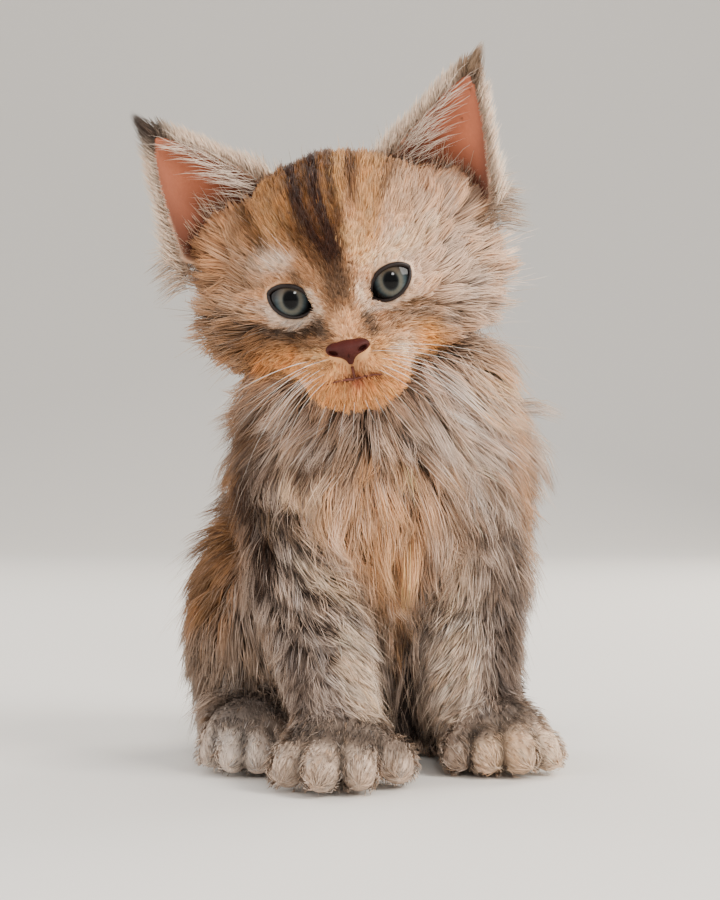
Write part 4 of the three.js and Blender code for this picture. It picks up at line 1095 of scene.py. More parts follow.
def near_guides(P, G, k=1):
    kd = kdtree.KDTree(len(G))
    for i, x in enumerate(G):
        kd.insert(x, i)
    kd.balance()
    return np.array([kd.find(x)[1] for x in P])


def near_lock(P, spec, idx, rs):
    """For each root, the index of the root that leads a larger lock."""
    ng = max(12, int(carea[idx].sum() / (spec["lock"] * 1.9) ** 2))
    gi = rs.choice(len(P), min(ng, len(P)), replace=False)
    return gi[near_guides(P, P[gi])]


def build_coat(key, spec, seed):
    t = time.time()
    rs = np.random.RandomState(seed)
    reg = key.rstrip("2")
    mask = region == reg
    idx = np.where(mask)[0]
    uvs = UV[reg]
    n = int(spec["n"] * FACTOR)
    dens = carea[idx].copy()
    c = cc[idx]
    h = hl[idx]
    nn = cnorm[idx]
    # denser where the coat is short and fine, thin where nothing shows (underneath)
    if reg in ("face",):
        dens = dens * (0.8 + 1.6 * sstep(-10, -26, h[:, 1]) + 1.5 * sstep(-26, -34, h[:, 1]))
    if reg in ("forelegs", "hindlegs"):
        paw = np.stack([cw[k][idx] for k in ("pawFL", "pawFR", "pawHL", "pawHR")]).sum(0)
        dens = dens * (1 + 1.6 * paw)
        dens = dens * np.where(c[:, 1] > 60, 0.8, 1.15)
    if reg == "breast":
        dens = dens * (0.55 + 0.9 * sstep(70, 30, c[:, 1]))
    dens = dens * np.where((nn[:, 2] < -0.8) & (c[:, 2] < 8), 0.05, 1.0)
    dens /= dens.sum()
    pick = rs.choice(len(idx), n, p=dens)
    r1, r2 = rs.rand(n), rs.rand(n)
    sq_ = np.sqrt(r1)
    bary = np.stack([1 - sq_, sq_ * (1 - r2), sq_ * r2], 1)
    tri = ct[idx[pick]]
    P = (cv[tri] * bary[:, :, None]).sum(1)
    uv0 = (uvs[pick] * bary[:, :, None]).sum(1)
    P, N = project(body_skin, P, 1, 1.0)
    g, q, qa = group_fields(P)
    keep = np.ones(n, bool)
    # keep the eyes' openings, the nose leather and the lips clear
    lid = opening(qa, LENS["half"] + 0.9, LENS["high"] + 0.75)
    keep &= ~((lid < 0) & (qa[:, 1] < -12) & (np.abs(qa[:, 0] - 13.4) < 9))
    keep &= ~((np.hypot(qa[:, 0] / 5.2, (q[:, 2] + 19.2) / 2.6) < 1) & (q[:, 1] < -34))
    keep &= ~((np.abs(q[:, 2] + 22.6) < 2.2) & (qa[:, 0] < 1.6) & (q[:, 1] < -34))
    keep &= ~((np.abs(q[:, 2] + 27.0 + 0.012 * qa[:, 0] ** 2 - 0.10 * qa[:, 0]) < 0.45) & (qa[:, 0] < 8) & (q[:, 1] < -30))
    keep &= P[:, 2] > 0.6
    P, N, uv0, q, qa = P[keep].astype(float), N[keep].astype(float), uv0[keep], q[keep], qa[keep]
    g = {k: v[keep] for k, v in g.items()}
    w = weights(g)
    depth = coat_depth(P.astype(F4), g, qa)
    q = q.astype(float)
    n = len(P)
    L = length_of(P, N, q, w, depth) * rs.uniform(0.66, 1.18, n)
    ruff = np.exp(-((P[:, 2] - 109) / 13) ** 2) * sstep(8, 24, np.abs(P[:, 0] + 5)) * (1 - 0.5 * w["head"]) * (N[:, 1] < 0.6)
    L = L * (1 + 0.12 * ruff)
    steps = spec["seg"]
    pts, nrm = trace(P, N, w, L, steps)
    s = np.linspace(0, 1, steps + 1)
    # height over the skin: rises from the root, then lies at the top of the coat
    wild = rs.rand(n)
    top = depth * spec["rise"] * rs.uniform(0.55, 1.15, n)
    top = top * np.where(wild > 0.965, 1.35, 1.0) * (1 + 0.16 * rs.normal(size=n)[near_lock(P, spec, idx, rs)])
    top = np.minimum(top * (1 + 0.35 * ruff), 0.58 * L)
    hgt = [top * (1 - (1 - x) ** 1.7) - 0.15 * (x == 0) for x in s]
    path = np.stack([pts[k] + nrm[k] * hgt[k][:, None] for k in range(steps + 1)], 1)
    # locks: strands lean to a shared guide as they near their tips
    area = carea[idx].sum()
    ng = max(20, int(area / spec["lock"] ** 2))
    gi = rs.choice(n, min(ng, n), replace=False)
    near = near_guides(P, P[gi])
    gid = gi[near]
    clump = spec["clump"] * rs.uniform(0.6, 1.15, n) * np.where(wild > 0.93, 0.3, 1.0)
    guide_wave = rs.normal(size=(n, 3))
    jitter = rs.normal(size=(n, 3))
    for k in range(1, steps + 1):
        x = s[k]
        # the lock as a whole bends a little aside
        bend = guide_wave[gid] * (spec.get("bend", 0.11) * L * x ** 1.5)[:, None]
        lean = (path[gid, k] - path[:, k])
        dist = np.linalg.norm(lean, axis=1)
        lean *= np.clip(spec["lock"] * 2.2 / (dist + 1e-6), 0, 1)[:, None]
        path[:, k] += lean * (clump * x ** 1.4)[:, None] + bend * 0.8 + jitter * (0.035 * L * x)[:, None]
    # nothing sinks under the floor
    path[:, :, 2] = np.maximum(path[:, :, 2], 0.35)
    up = np.stack(nrm, 1)
    # colour: shade at the root, the marking at the tip, a tone of its own for each lock and strand
    stray = rs.normal(size=(n, 3)) * (np.where(rs.rand(n) < 0.25, 2.0, 0.7) * (1 - 0.45 * w["head"]))[:, None]
    tipc = paint(path[:, -1] * 0.75 + path[:, -2] * 0.25 + stray, nrm[-1], w)
    rootc = paint(P + stray, N, w)
    lockv = rs.normal(size=n)[gid] * 0.09
    ownv = rs.normal(size=n) * 0.10
    tone = np.exp(lockv + ownv)[:, None]
    warm = (rs.normal(size=n)[gid] * 0.05)[:, None] * np.array([[1.0, 0.1, -1.0]])
    tipc = np.clip(tipc * tone * (1 + warm), 0, 1)
    rootc = np.clip(rootc * tone * (1 + warm), 0, 1)
    # painted shade in the clefts between the toes, on every station of the strand
    cleft_shade_w = toe_cleft_shade(P)[:, None]
    shortness = (1 - sstep(2.0, 6.0, depth))[:, None]
    cols = []
    for x in s:
        root_dark = 0.52 + 0.30 * shortness
        k = x ** 0.8
        cc_ = rootc * (1 - x) + tipc * x
        cols.append(cc_ * (root_dark * (1 - k) + 1.12 * k) * (1 - 0.82 * cleft_shade_w))
    cols = np.stack(cols, 1)
    width = spec["width"] * rs.uniform(0.75, 1.25, n) * np.clip((L / 6.0) ** 0.35, 0.7, 1.25)
    V, Fc, C, U = strand_mesh(path, up, width, cols, uv0)
    o = make_mesh("coat_" + key, V, Fc, C, U)
    o.data.materials.append(MAT_FUR)
    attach(o, "root")
    print("coat", key, n, "strands", len(Fc), "tris", round(time.time() - t, 1))
    return o


UV = {}
t = time.time()
for r in ("face", "cheeks", "crown", "breast", "back", "forelegs", "paws", "hindlegs", "tail"):
    UV[r] = unwrap(region == r)
print("unwraps", round(time.time() - t, 1))
for i, (key, spec) in enumerate(SPEC.items()):
    o = build_coat(key, spec, 100 + i)

def loose_hairs(n, seed):
    """Single long hairs that stand off the neck, cheeks, flanks and legs."""
    rs = np.random.RandomState(seed)
    n = int(n * FACTOR)
    ok = np.isin(region, ["cheeks", "breast", "back", "forelegs", "crown", "hindlegs"])
    idx = np.where(ok)[0]
    wt = carea[idx] * np.where(np.isin(region[idx], ["cheeks", "breast"]), 2.0, np.where(region[idx] == "crown", 1.2, 0.7))
    tri = ct[rs.choice(idx, n, p=wt / wt.sum())]
    r = rs.dirichlet((1, 1, 1), n)
    P = (cv[tri] * r[:, :, None]).sum(1)
    P, N = project(body_skin, P, 1, 1.0)
    P, N = P.astype(float), N.astype(float)
    k = P[:, 2] > 12
    P, N = P[k], N[k]
    g, q, qa = group_fields(P.astype(F4))
    w = weights(g)
    depth = coat_depth(P.astype(F4), g, qa)
    n = len(P)
    f = flow_field(P, N, w)
    L = (depth * 1.9 + 5.0) * rs.uniform(0.8, 1.25, n)
    d = unit(f + N * rs.uniform(0.45, 0.85, n)[:, None] + rs.normal(size=(n, 3)) * 0.14)
    e = unit(d * 0.75 + f * 0.75 - np.array([0, 0, 0.12]) + rs.normal(size=(n, 3)) * 0.1)
    path = np.stack([P, P + d * (L * 0.4)[:, None], P + d * (L * 0.4)[:, None] + unit(d + e) * (L * 0.3)[:, None],
                     P + d * (L * 0.4)[:, None] + unit(d + e) * (L * 0.3)[:, None] + e * (L * 0.3)[:, None]], 1)
    path[:, :, 2] = np.maximum(path[:, :, 2], 0.4)
    c = paint(P, N, w)
    c = c * 0.75 + 0.25 * srgb(214, 190, 168)[None]
    # darker at the root with painted shade, lighter towards the tip
    col = np.stack([c * 0.7, c, c * 1.15, c * 1.2], 1)
    # the hairs' places on the unwrap of the whole coarse skin, by height and side
    uv = np.stack([np.clip(0.5 + P[:, 0] / 150.0, 0.01, 0.99), np.clip(P[:, 2] / 200.0, 0.01, 0.99)], 1)
    uv = UVALL[tri[k][:, 0]] if len(UVALL) else uv
    V, Fc, C, U = strand_mesh(path, np.stack([N] * 4, 1), np.full(n, 0.13), col, uv)
    o = make_mesh("coat_loose", V, Fc, C, U)
    o.data.materials.append(MAT_FINE)
    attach(o, "root")


ALLUV = unwrap(np.ones(len(ct), bool))
UVALL = np.zeros((len(cv), 2))
UVALL[ct.ravel()] = ALLUV.reshape(-1, 2)
loose_hairs(3200, 77)

# =====================================================================
# ears: hair outside, on the rims, inside, and the tufts at the tips
# =====================================================================
def ear_point(s, W, u, lift):
    """Point on an ear's shell at height W and across u (-1..1), lifted off its middle sheet."""
    E = EARS[s]
    m = np.clip(1 - W / E["L"], 0, 1.3)
    half, dep = 18 * m ** 0.70 - 0.6, 12 * m ** 0.85
    A = u * half
    B = dep * (1 - u * u) - 2
    slope = -2 * dep * u / np.maximum(half, 1)
    nb = 1 / np.sqrt(1 + slope ** 2)
    na = -slope * nb
    q = E["base"] + W[:, None] * E["w"] + (A + na * lift)[:, None] * E["a"] + (B + nb * lift)[:, None] * E["b"]
    nrm = na[:, None] * E["a"] + nb[:, None] * E["b"]
    return q, nrm


def ear_hair(seed):
    rs = np.random.RandomState(seed)
    P, UP, WD, CO, UVS = [], [], [], [], []

    def add(path, up, width, col, uv):
        P.append(path)
        UP.append(up)
        WD.append(width)
        CO.append(col)
        UVS.append(uv)
    for s in (1, -1):
        L = EARS[s]["L"]
        k = FACTOR
        # outer face: short, lying towards the tip
        n = int(1800 * k)
        W = L * (rs.rand(n) * 1.12 - 0.12) ** 1.0
        u = rs.uniform(-1.0, 1.0, n)
        ln = 5.5 * rs.uniform(0.7, 1.2, n)
        pts, ups = [], []
        for x in (0, 0.5, 1.0):
            q, nn = ear_point(s, np.minimum(W + ln * x * 0.9, L * 1.02), u * (1 - 0.1 * x), 1.0 + 1.3 * x)
            pts.append(q)
            ups.append(nn)
        path = np.stack(pts, 1)
        path[:, 2] += EARS[s]["w"] * (ln * 0.15)[:, None] + rs.normal(size=(n, 3)) * 0.35
        tone = np.exp(rs.normal(size=n) * 0.16)[:, None]
        b = srgb(150, 122, 98)[None] * (1 - sstep(0.55, 0.95, W / L))[:, None] + srgb(70, 52, 40)[None] * sstep(0.55, 0.95, W / L)[:, None]
        if s < 0:
            b = b * 0.85
        # painted shade at the root of each hair
        col = np.stack([b * tone * 0.55, b * tone, b * tone * 1.1], 1)
        add(path, np.stack(ups, 1), np.full(n, 0.34), col, np.stack([0.02 + 0.2 * (u + 1) / 2 + (0.25 if s > 0 else 0), 0.05 + 0.9 * np.clip(W / L, 0, 1)], 1))
        # rims: pale, standing out past the edge
        n = int(1500 * k)
        W = L * (rs.rand(n) * 1.06 - 0.08)
        sgn = np.where(rs.rand(n) < 0.6, -1.0, 1.0) * s      # more on the inner edge
        u = sgn * rs.uniform(0.90, 1.0, n)
        ln = rs.uniform(3.5, 6.5, n) * (1 + 0.5 * sstep(0.5, 0.0, W / L))
        q0, n0 = ear_point(s, W, u, rs.uniform(-0.9, 0.9, n))
        dirv = EARS[s]["w"][None] * 0.9 + EARS[s]["a"][None] * (sgn * 0.42)[:, None] - EARS[s]["b"][None] * 0.15 + rs.normal(size=(n, 3)) * 0.13
        dirv = unit(dirv)
        path = np.stack([q0, q0 + dirv * (ln * 0.5)[:, None], q0 + unit(dirv + EARS[s]["w"] * 0.5) * ln[:, None]], 1)
        tone = np.exp(rs.normal(size=n) * 0.12)[:, None]
        tipd = sstep(0.78, 1.0, W / L)[:, None]
        b = srgb(240, 214, 190)[None] * (1 - tipd) + (srgb(120, 92, 68) if s > 0 else srgb(60, 46, 38))[None] * tipd
        # painted shade at the root of each hair
        col = np.stack([b * tone * 0.7, b * tone, b * tone * 1.08], 1)
        add(path, np.stack([n0] * 3, 1), np.full(n, 0.30), col, np.stack([0.55 + 0.1 * (u + 1) / 2 + (0.12 if s > 0 else 0), 0.05 + 0.9 * np.clip(W / L, 0, 1)], 1))
        # inside: long pale hairs from the inner edge and the base, sweeping up and across
        n = int(170 * k) + 20
        W = L * rs.beta(1.2, 1.5, n) * 0.85 - 2
        u = -s * rs.uniform(0.70, 0.99, n)
        base_hair = rs.rand(n) < 0.35
        u = np.where(base_hair, rs.uniform(-0.9, 0.9, n), u)
        W = np.where(base_hair, rs.uniform(-6, 3, n), W)
        ln = rs.uniform(9, 19, n) * (1 - 0.35 * np.clip(W / L, 0, 1))
        q0, n0 = ear_point(s, W, u, np.full(n, -0.8))
        dirv = EARS[s]["w"][None] * 0.85 + EARS[s]["a"][None] * (s * rs.uniform(0.2, 1.5, n))[:, None] - EARS[s]["b"][None] * rs.uniform(0.15, 0.5, n)[:, None]
        dirv = unit(dirv + rs.normal(size=(n, 3)) * 0.1)
        bend = unit(dirv + EARS[s]["w"] * 0.35 - EARS[s]["b"] * -0.25)
        path = np.stack([q0, q0 + dirv * (ln * 0.35)[:, None], q0 + dirv * (ln * 0.35)[:, None] + bend * (ln * 0.33)[:, None],
                         q0 + dirv * (ln * 0.35)[:, None] + bend * (ln * 0.33)[:, None] + unit(bend + EARS[s]["a"] * s * 0.35) * (ln * 0.32)[:, None]], 1)
        tone = np.exp(rs.normal(size=n) * 0.1)[:, None]
        b = srgb(240, 218, 198)[None] + np.zeros((n, 1))
        # painted shade at the root of each hair
        col = np.stack([b * tone * 0.6, b * tone * 0.9, b * tone, b * tone * 1.05], 1)
        INS.append((path, np.stack([-n0] * 4, 1), np.full(n, 0.14), col, np.stack([0.02 + 0.4 * (u + 1) / 2 + (0.5 if s > 0 else 0), 0.05 + 0.9 * np.clip(W / L, 0, 1)], 1)))
        # fluff round the base, over the join with the head
        n = int(850 * k)
        W = rs.uniform(-7, 4, n)
        u = np.clip(rs.uniform(-1.0, 1.2, n) * s, -1, 1)
        out = rs.rand(n) < 0.5
        q0, n0 = ear_point(s, W, u, np.where(out, 1.0, -1.0))
        nd = n0 * np.where(out, 1.0, -1.0)[:, None]
        latw = np.clip(u * s, 0, 1)
        dirv = nd * 0.5 + EARS[s]["w"][None] * (0.95 - 0.7 * latw)[:, None] + EARS[s]["a"][None] * (u * 0.5)[:, None]
        dirv[:, 0] += 0.55 * s * latw
        dirv[:, 1] += 0.25
        dirv = unit(dirv + rs.normal(size=(n, 3)) * 0.16)
        ln = rs.uniform(6.5, 12, n)
        b2 = unit(dirv + np.array([0.3 * s, 0.25, -0.45])[None] * latw[:, None] + EARS[s]["w"][None] * (0.3 * (1 - latw))[:, None])
        path = np.stack([q0, q0 + dirv * (ln * 0.35)[:, None], q0 + dirv * (ln * 0.35)[:, None] + b2 * (ln * 0.33)[:, None],
                         q0 + dirv * (ln * 0.35)[:, None] + b2 * (ln * 0.65)[:, None]], 1)
        tone = np.exp(rs.normal(size=n) * 0.12)[:, None]
        b = srgb(206, 178, 154)[None] * (1 - 0.35 * out)[:, None] + np.zeros((n, 1))
        b = b * (1 - 0.25 * latw * (s > 0))[:, None] * np.array([[1.0, 0.96, 0.92]])
        # painted shade at the root of each hair
        col = np.stack([b * tone * 0.6, b * tone * 0.9, b * tone, b * tone * 1.05], 1)
        INS.append((path, np.stack([nd] * 4, 1), np.full(n, 0.19), col, np.stack([0.02 + 0.4 * (u + 1) / 2 + (0.5 if s > 0 else 0), 0.02 + 0 * u], 1)))
        # tufts at the tips
        n = int(260 * k) + 40
        W = L * rs.uniform(0.86, 0.99, n)
        u = rs.uniform(-1, 1, n)
        q0, n0 = ear_point(s, W, u, rs.uniform(-0.6, 0.6, n))
        ln = rs.uniform(6, 11.5, n)
        tipdir = unit(EARS[s]["w"] + np.array([0.22 * s, 0.05, 0.25]))
        dirv = unit(tipdir[None] + rs.normal(size=(n, 3)) * 0.10)
        tipq = head_tip(s) + tipdir * (ln[:, None] - 2.0)
        path = np.stack([q0, q0 * 0.55 + (q0 + dirv * ln[:, None] * 0.6) * 0.45, (q0 + dirv * ln[:, None]) * 0.55 + tipq * 0.45 * 0.55 + tipq * 0.2025, q0 * 0 + (q0 + dirv * ln[:, None]) * 0.35 + tipq * 0.65], 1)
        path[:, 2] = (path[:, 1] + path[:, 3]) / 2 + rs.normal(size=(n, 3)) * 0.2
        tone = np.exp(rs.normal(size=n) * 0.15)[:, None]
        b = ((srgb(150, 122, 96) if s > 0 else srgb(84, 66, 54))[None] + np.zeros((n, 1)))
        col = np.stack([b * tone * 0.9, b * tone, b * tone * 0.9, b * tone * 0.8], 1)
        INS.append((path, np.stack([n0] * 4, 1), np.full(n, 0.22), col, np.stack([np.clip(0.05 + 0.4 * (u + 1) / 2 + (0.5 if s > 0 else 0), 0, 1), 0.96 + 0 * u], 1)))
    return [np.concatenate(x) for x in (P, UP, WD, CO, UVS)]


def head_tip(s):
    return EARS[s]["base"] + EARS[s]["w"] * (EARS[s]["L"] - 1.0)


INS = []
eh = ear_hair(55)


def emit(name, path, up, width, col, uv, mat, slot_name):
    pw = path @ HEAD_R.T + HEAD_O
    uw = up @ HEAD_R.T
    V, Fc, C, U = strand_mesh(pw, uw, width, col, uv)
    o = make_mesh(name, V, Fc, C, U)
    o.data.materials.append(mat)
    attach(o, "root")
    return o


emit("coat_ears", *eh, MAT_FUR, "ear")
emit("coat_ear_inside", *[np.concatenate([x[i] for x in INS]) for i in range(5)], MAT_FINE, "ear")

# =====================================================================
# eyes
# =====================================================================
def eye_material():
    m = bpy.data.materials.new("eye")
    m.use_nodes = True
    b = m.node_tree.nodes["Principled BSDF"]
    at = m.node_tree.nodes.new("ShaderNodeAttribute")
    at.attribute_name = "Coat"
    m.node_tree.links.new(at.outputs["Color"], b.inputs["Base Color"])
    b.inputs["Roughness"].default_value = 0.05
    b.inputs["Specular IOR Level"].default_value = 0.15
    return m


MAT_EYE = eye_material()


def eyeball(s):
    """A fine sphere with iris, limbal ring, pupil and dark surround as colours set out round its gaze axis."""
    na, nr = 96, 72
    # gaze: nearly straight ahead, a touch up
    c = EYE * np.array([s, 1, 1])
    gaze = unit(np.array([[0.02 * s + 0.03, -1.0, 0.06]]))[0]
    x = unit(np.cross(np.array([0, 0, 1.0]), gaze)[None])[0]
    z = np.cross(gaze, x)
    verts, cols = [], []
    # rings from the front pole to the back pole, closer together over the iris
    ang = np.concatenate([np.linspace(0, 0.80, 46)[1:], np.linspace(0.80, math.pi, nr - 44)[1:-1]])
    verts.append(gaze * EYE_R)
    cols.append(srgb(3, 3, 4))
    r1 = np.random.RandomState(5 + s)
    ph = r1.uniform(0, 6.28, 12)
    for a in ang:
        for k in range(na):
            t = 2 * math.pi * k / na
            d = gaze * math.cos(a) + (x * math.cos(t) + z * math.sin(t)) * math.sin(a)
            verts.append(d * EYE_R)
            rr = EYE_R * math.sin(a) if a < math.pi / 2 else EYE_R
            # pupil: oval, taller than wide
            pr = math.hypot(rr * math.cos(t) / 2.1, (rr * math.sin(t)) / 2.6)
            fib = sum(math.sin((7 + 5 * i) * t + ph[i]) for i in range(6)) / 6
            iris = srgb(50, 63, 68) * (1.0 + 0.30 * fib)
            ring = math.exp(-((pr - 1.25) / 0.35) ** 2)
            iris = iris * (1 - 0.35 * ring) + srgb(118, 104, 78) * 0.35 * ring
            # shadow and warm tint under the upper lid
            upper = 1 / (1 + math.exp(-(rr * math.sin(t) - 1.7) * 1.7))
            iris = iris * (1 - 0.72 * upper) + srgb(62, 44, 28) * 0.72 * upper
            limb = 1 / (1 + math.exp(-(rr - 4.15) * 4.5)) if a < 1.5 else 1
            col = iris * (1 - limb) + srgb(10, 8, 8) * limb
            pup = 1 / (1 + math.exp((pr - 1.0) * 16))
            col = col * (1 - pup) + srgb(3, 3, 4) * pup
            cols.append(col)
    verts.append(-gaze * EYE_R)
    cols.append(srgb(10, 8, 8))
    verts = np.array(verts)
    # a bulge for the cornea over the iris, scaled to nothing: the ball stays a plain sphere
    v = verts / EYE_R
    ca = v @ gaze
    bulge = 0.55 * np.clip((ca - math.cos(0.62)) / (1 - math.cos(0.62)), 0, 1)
    verts = verts * (1 + 0 * ca[:, None]) + gaze * (bulge * 0.0)[:, None]
    nrg = len(ang)
    faces = []
    for k in range(na):
        faces.append((0, 1 + k, 1 + (k + 1) % na))
    for r in range(nrg - 1):
        for k in range(na):
            a, b = 1 + r * na + k, 1 + r * na + (k + 1) % na
            faces += [(a, a + na, b + na), (a, b + na, b)]
    last = len(verts) - 1
    for k in range(na):
        faces.append((last, 1 + (nrg - 1) * na + (k + 1) % na, 1 + (nrg - 1) * na + k))
    faces = np.array(faces)
    # orientation check
    f0 = verts[faces[0]]
    if np.cross(f0[1] - f0[0], f0[2] - f0[0]) @ f0.mean(0) < 0:
        faces = faces[:, ::-1]
    return (verts + c) @ HEAD_R.T + HEAD_O, faces, np.array(cols)


def tube(path, radius, sides=8, closed=True):
    P = np.asarray(path, float)
    n = len(P)
    rad = np.broadcast_to(np.asarray(radius, float), (n,))
    nx = np.roll(P, -1, 0) - np.roll(P, 1, 0)
    if not closed:
        nx[0] = P[1] - P[0]
        nx[-1] = P[-1] - P[-2]
    tan = unit(nx)
    ref = np.array([0.13, 1.0, 0.21])
    a = unit(np.cross(tan, ref))
    b = np.cross(tan, a)
    ang = np.arange(sides) * 2 * np.pi / sides
    V = P[:, None] + rad[:, None, None] * (a[:, None] * np.cos(ang)[None, :, None] + b[:, None] * np.sin(ang)[None, :, None])
    faces = []
    m = n if closed else n - 1
    for i in range(m):
        for k in range(sides):
            i2 = (i + 1) % n
            k2 = (k + 1) % sides
            faces += [(i * sides + k, i2 * sides + k, i2 * sides + k2), (i * sides + k, i2 * sides + k2, i * sides + k2)]
    V = V.reshape(-1, 3)
    if not closed:
        V = np.concatenate([V, P[:1], P[-1:]])
        for k in range(sides):
            k2 = (k + 1) % sides
            faces += [(n * sides, k2, k), (n * sides + 1, (n - 1) * sides + k, (n - 1) * sides + k2)]
    return V, np.array(faces)[:, ::-1]


def simple_material(name, rgb, rough, coat=0.0, spec=0.4, bump=None, vary=0.15, scale=500):
    m = bpy.data.materials.new(name)
    m.use_nodes = True
    nt = m.node_tree
    b = nt.nodes["Principled BSDF"]
    tc = nt.nodes.new("ShaderNodeTexCoord")
    no = nt.nodes.new("ShaderNodeTexNoise")
    no.inputs["Scale"].default_value = scale
    no.inputs["Detail"].default_value = 4
    nt.links.new(tc.outputs["Object"], no.inputs["Vector"])
    cr = nt.nodes.new("ShaderNodeValToRGB")
    c = srgb(*rgb)
    cr.color_ramp.elements[0].color = (*np.clip(c * (1 - 2 * vary), 0, 1), 1)
    cr.color_ramp.elements[1].color = (*np.clip(c * (1 + 2 * vary), 0, 1), 1)
    nt.links.new(no.outputs["Fac"], cr.inputs["Fac"])
    nt.links.new(cr.outputs["Color"], b.inputs["Base Color"])
    b.inputs["Roughness"].default_value = rough
    b.inputs["Specular IOR Level"].default_value = spec
    b.inputs["Coat Weight"].default_value = coat
    b.inputs["Coat Roughness"].default_value = 0.15
    if bump:
        vo = nt.nodes.new("ShaderNodeTexVoronoi")
        vo.inputs["Scale"].default_value = bump[0]
        nt.links.new(tc.outputs["Object"], vo.inputs["Vector"])
        bp = nt.nodes.new("ShaderNodeBump")
        bp.inputs["Strength"].default_value = bump[1]
        bp.inputs["Distance"].default_value = 0.0002
        nt.links.new(vo.outputs["Distance"], bp.inputs["Height"])
        nt.links.new(bp.outputs["Normal"], b.inputs["Normal"])
    return m


MAT_LID = simple_material("lid_margin", (24, 13, 10), 0.4, coat=0.0, spec=0.25)
MAT_NOSE = simple_material("nose_leather", (60, 14, 7), 0.6, coat=0.0, spec=0.25, bump=(2600, 0.35), vary=0.2, scale=260)
MAT_WHISKER = simple_material("whisker", (236, 226, 216), 0.4, vary=0.03)
MAT_LIP = simple_material("lip", (84, 36, 24), 0.5, coat=0.05)

for s, nm in ((1, "left"), (-1, "right")):
    V, Fc, C = eyeball(s)
    o = make_mesh("eyeball_" + nm, V, Fc, C)
    o.data.materials.append(MAT_EYE)
    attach(o, "root")
    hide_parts("eye_" + nm)
    # lid margin: a wet dark rim that follows the opening over the ball
    u = np.sin(np.concatenate([np.linspace(1, -1, 33), np.linspace(-1, 1, 33)[1:-1]]) * math.pi / 2)
    upper = np.concatenate([np.ones(33), -np.ones(31)])
    uu = (LENS["half"] + 0.15) * u
    vv = upper * (LENS["high"] + 0.1) * lid_shape(np.clip(u, -1, 1))
    uu = uu + LENS["shift"]
    c, sn_ = math.cos(LENS["tilt"]), math.sin(LENS["tilt"])
    x = uu * c - vv * sn_
    z = uu * sn_ + vv * c
    r2 = x ** 2 + z ** 2
    y = -np.sqrt(np.maximum((EYE_R + 0.25) ** 2 - r2, 6.0))
    pts = np.stack([(x + EYE[0]) * s, y + EYE[1], z + EYE[2]], 1)
    pts = pts @ HEAD_R.T + HEAD_O
    rad = 0.46 + 0.16 * (upper > 0) + 0.40 * np.exp(-((u + 1) / 0.15) ** 2)
    V, Fc = tube(pts, rad, 10)
    o = make_mesh("lid_rim_" + nm, V, Fc)
    o.data.materials.append(MAT_LID)
    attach(o, "root")

# =====================================================================
# nose leather
# =====================================================================
def nose_field(p):
    q = head_local(np.asarray(p, F4))
    qa = q.copy()
    qa[:, 0] = np.abs(qa[:, 0])
    d = ell(qa, (3.3, -39.7, -17.9), (2.6, 2.8, 1.7))
    d = smin(d, ell(qa, (0, -40.2, -18.3), (4.4, 2.5, 2.1)), 1.2)
    d = smin(d, cone(qa, (0, -40.0, -18.8), (0, -39.0, -21.7), 2.5, 0.9), 1.5)
    nost = ell(qa, (3.9, -42.4, -18.7), (1.5, 2.4, 0.7), rot(ry=-22))
    d = smax(d, -nost, 0.35)
    groove = smax(qa[:, 0] - 0.12, qa[:, 1] + 41.4, 0.3)
    groove = smax(groove, qa[:, 2] + 19.4, 0.3)
    return smax(d, -groove, 0.35)


nc_ = head_world([0, -40, -19.5])
nv_, nq_ = nets(nose_field, nc_ - 9, nc_ + 9, 0.3)
nv_, _ = project(nose_field, nv_, 2, 0.15)
o = make_mesh("nose_pad", nv_, nq_)
o.data.materials.append(MAT_NOSE)
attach(o, "root")
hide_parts("nose")

# the line of the mouth and the groove above it, lying in the fur
def front_of(x, z, lift):
    q = np.stack([np.full(160, x), np.linspace(-46, -22, 160), np.full(160, z)], 1)
    d = body_skin(head_world(q))
    k = int(np.argmax(d < lift))
    return q[k]


for nm, s in (("left", 1), ("right", -1)):
    pts = [front_of(0.0, -23.4 - 0.5 * k, 0.9) for k in range(7)] if s > 0 else []
    pts += [front_of(s * x, -26.8 - 0.030 * x ** 2 + 0.22 * x, 0.9 - 0.05 * x) for x in np.linspace(0.3, 7.6, 12)]
    V, Fc = tube(head_world(np.array(pts)), np.linspace(0.42, 0.16, len(pts)), 8, closed=False)
    o = make_mesh("lip_line_" + nm, V, Fc)
    o.data.materials.append(MAT_LIP)
    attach(o, "root")

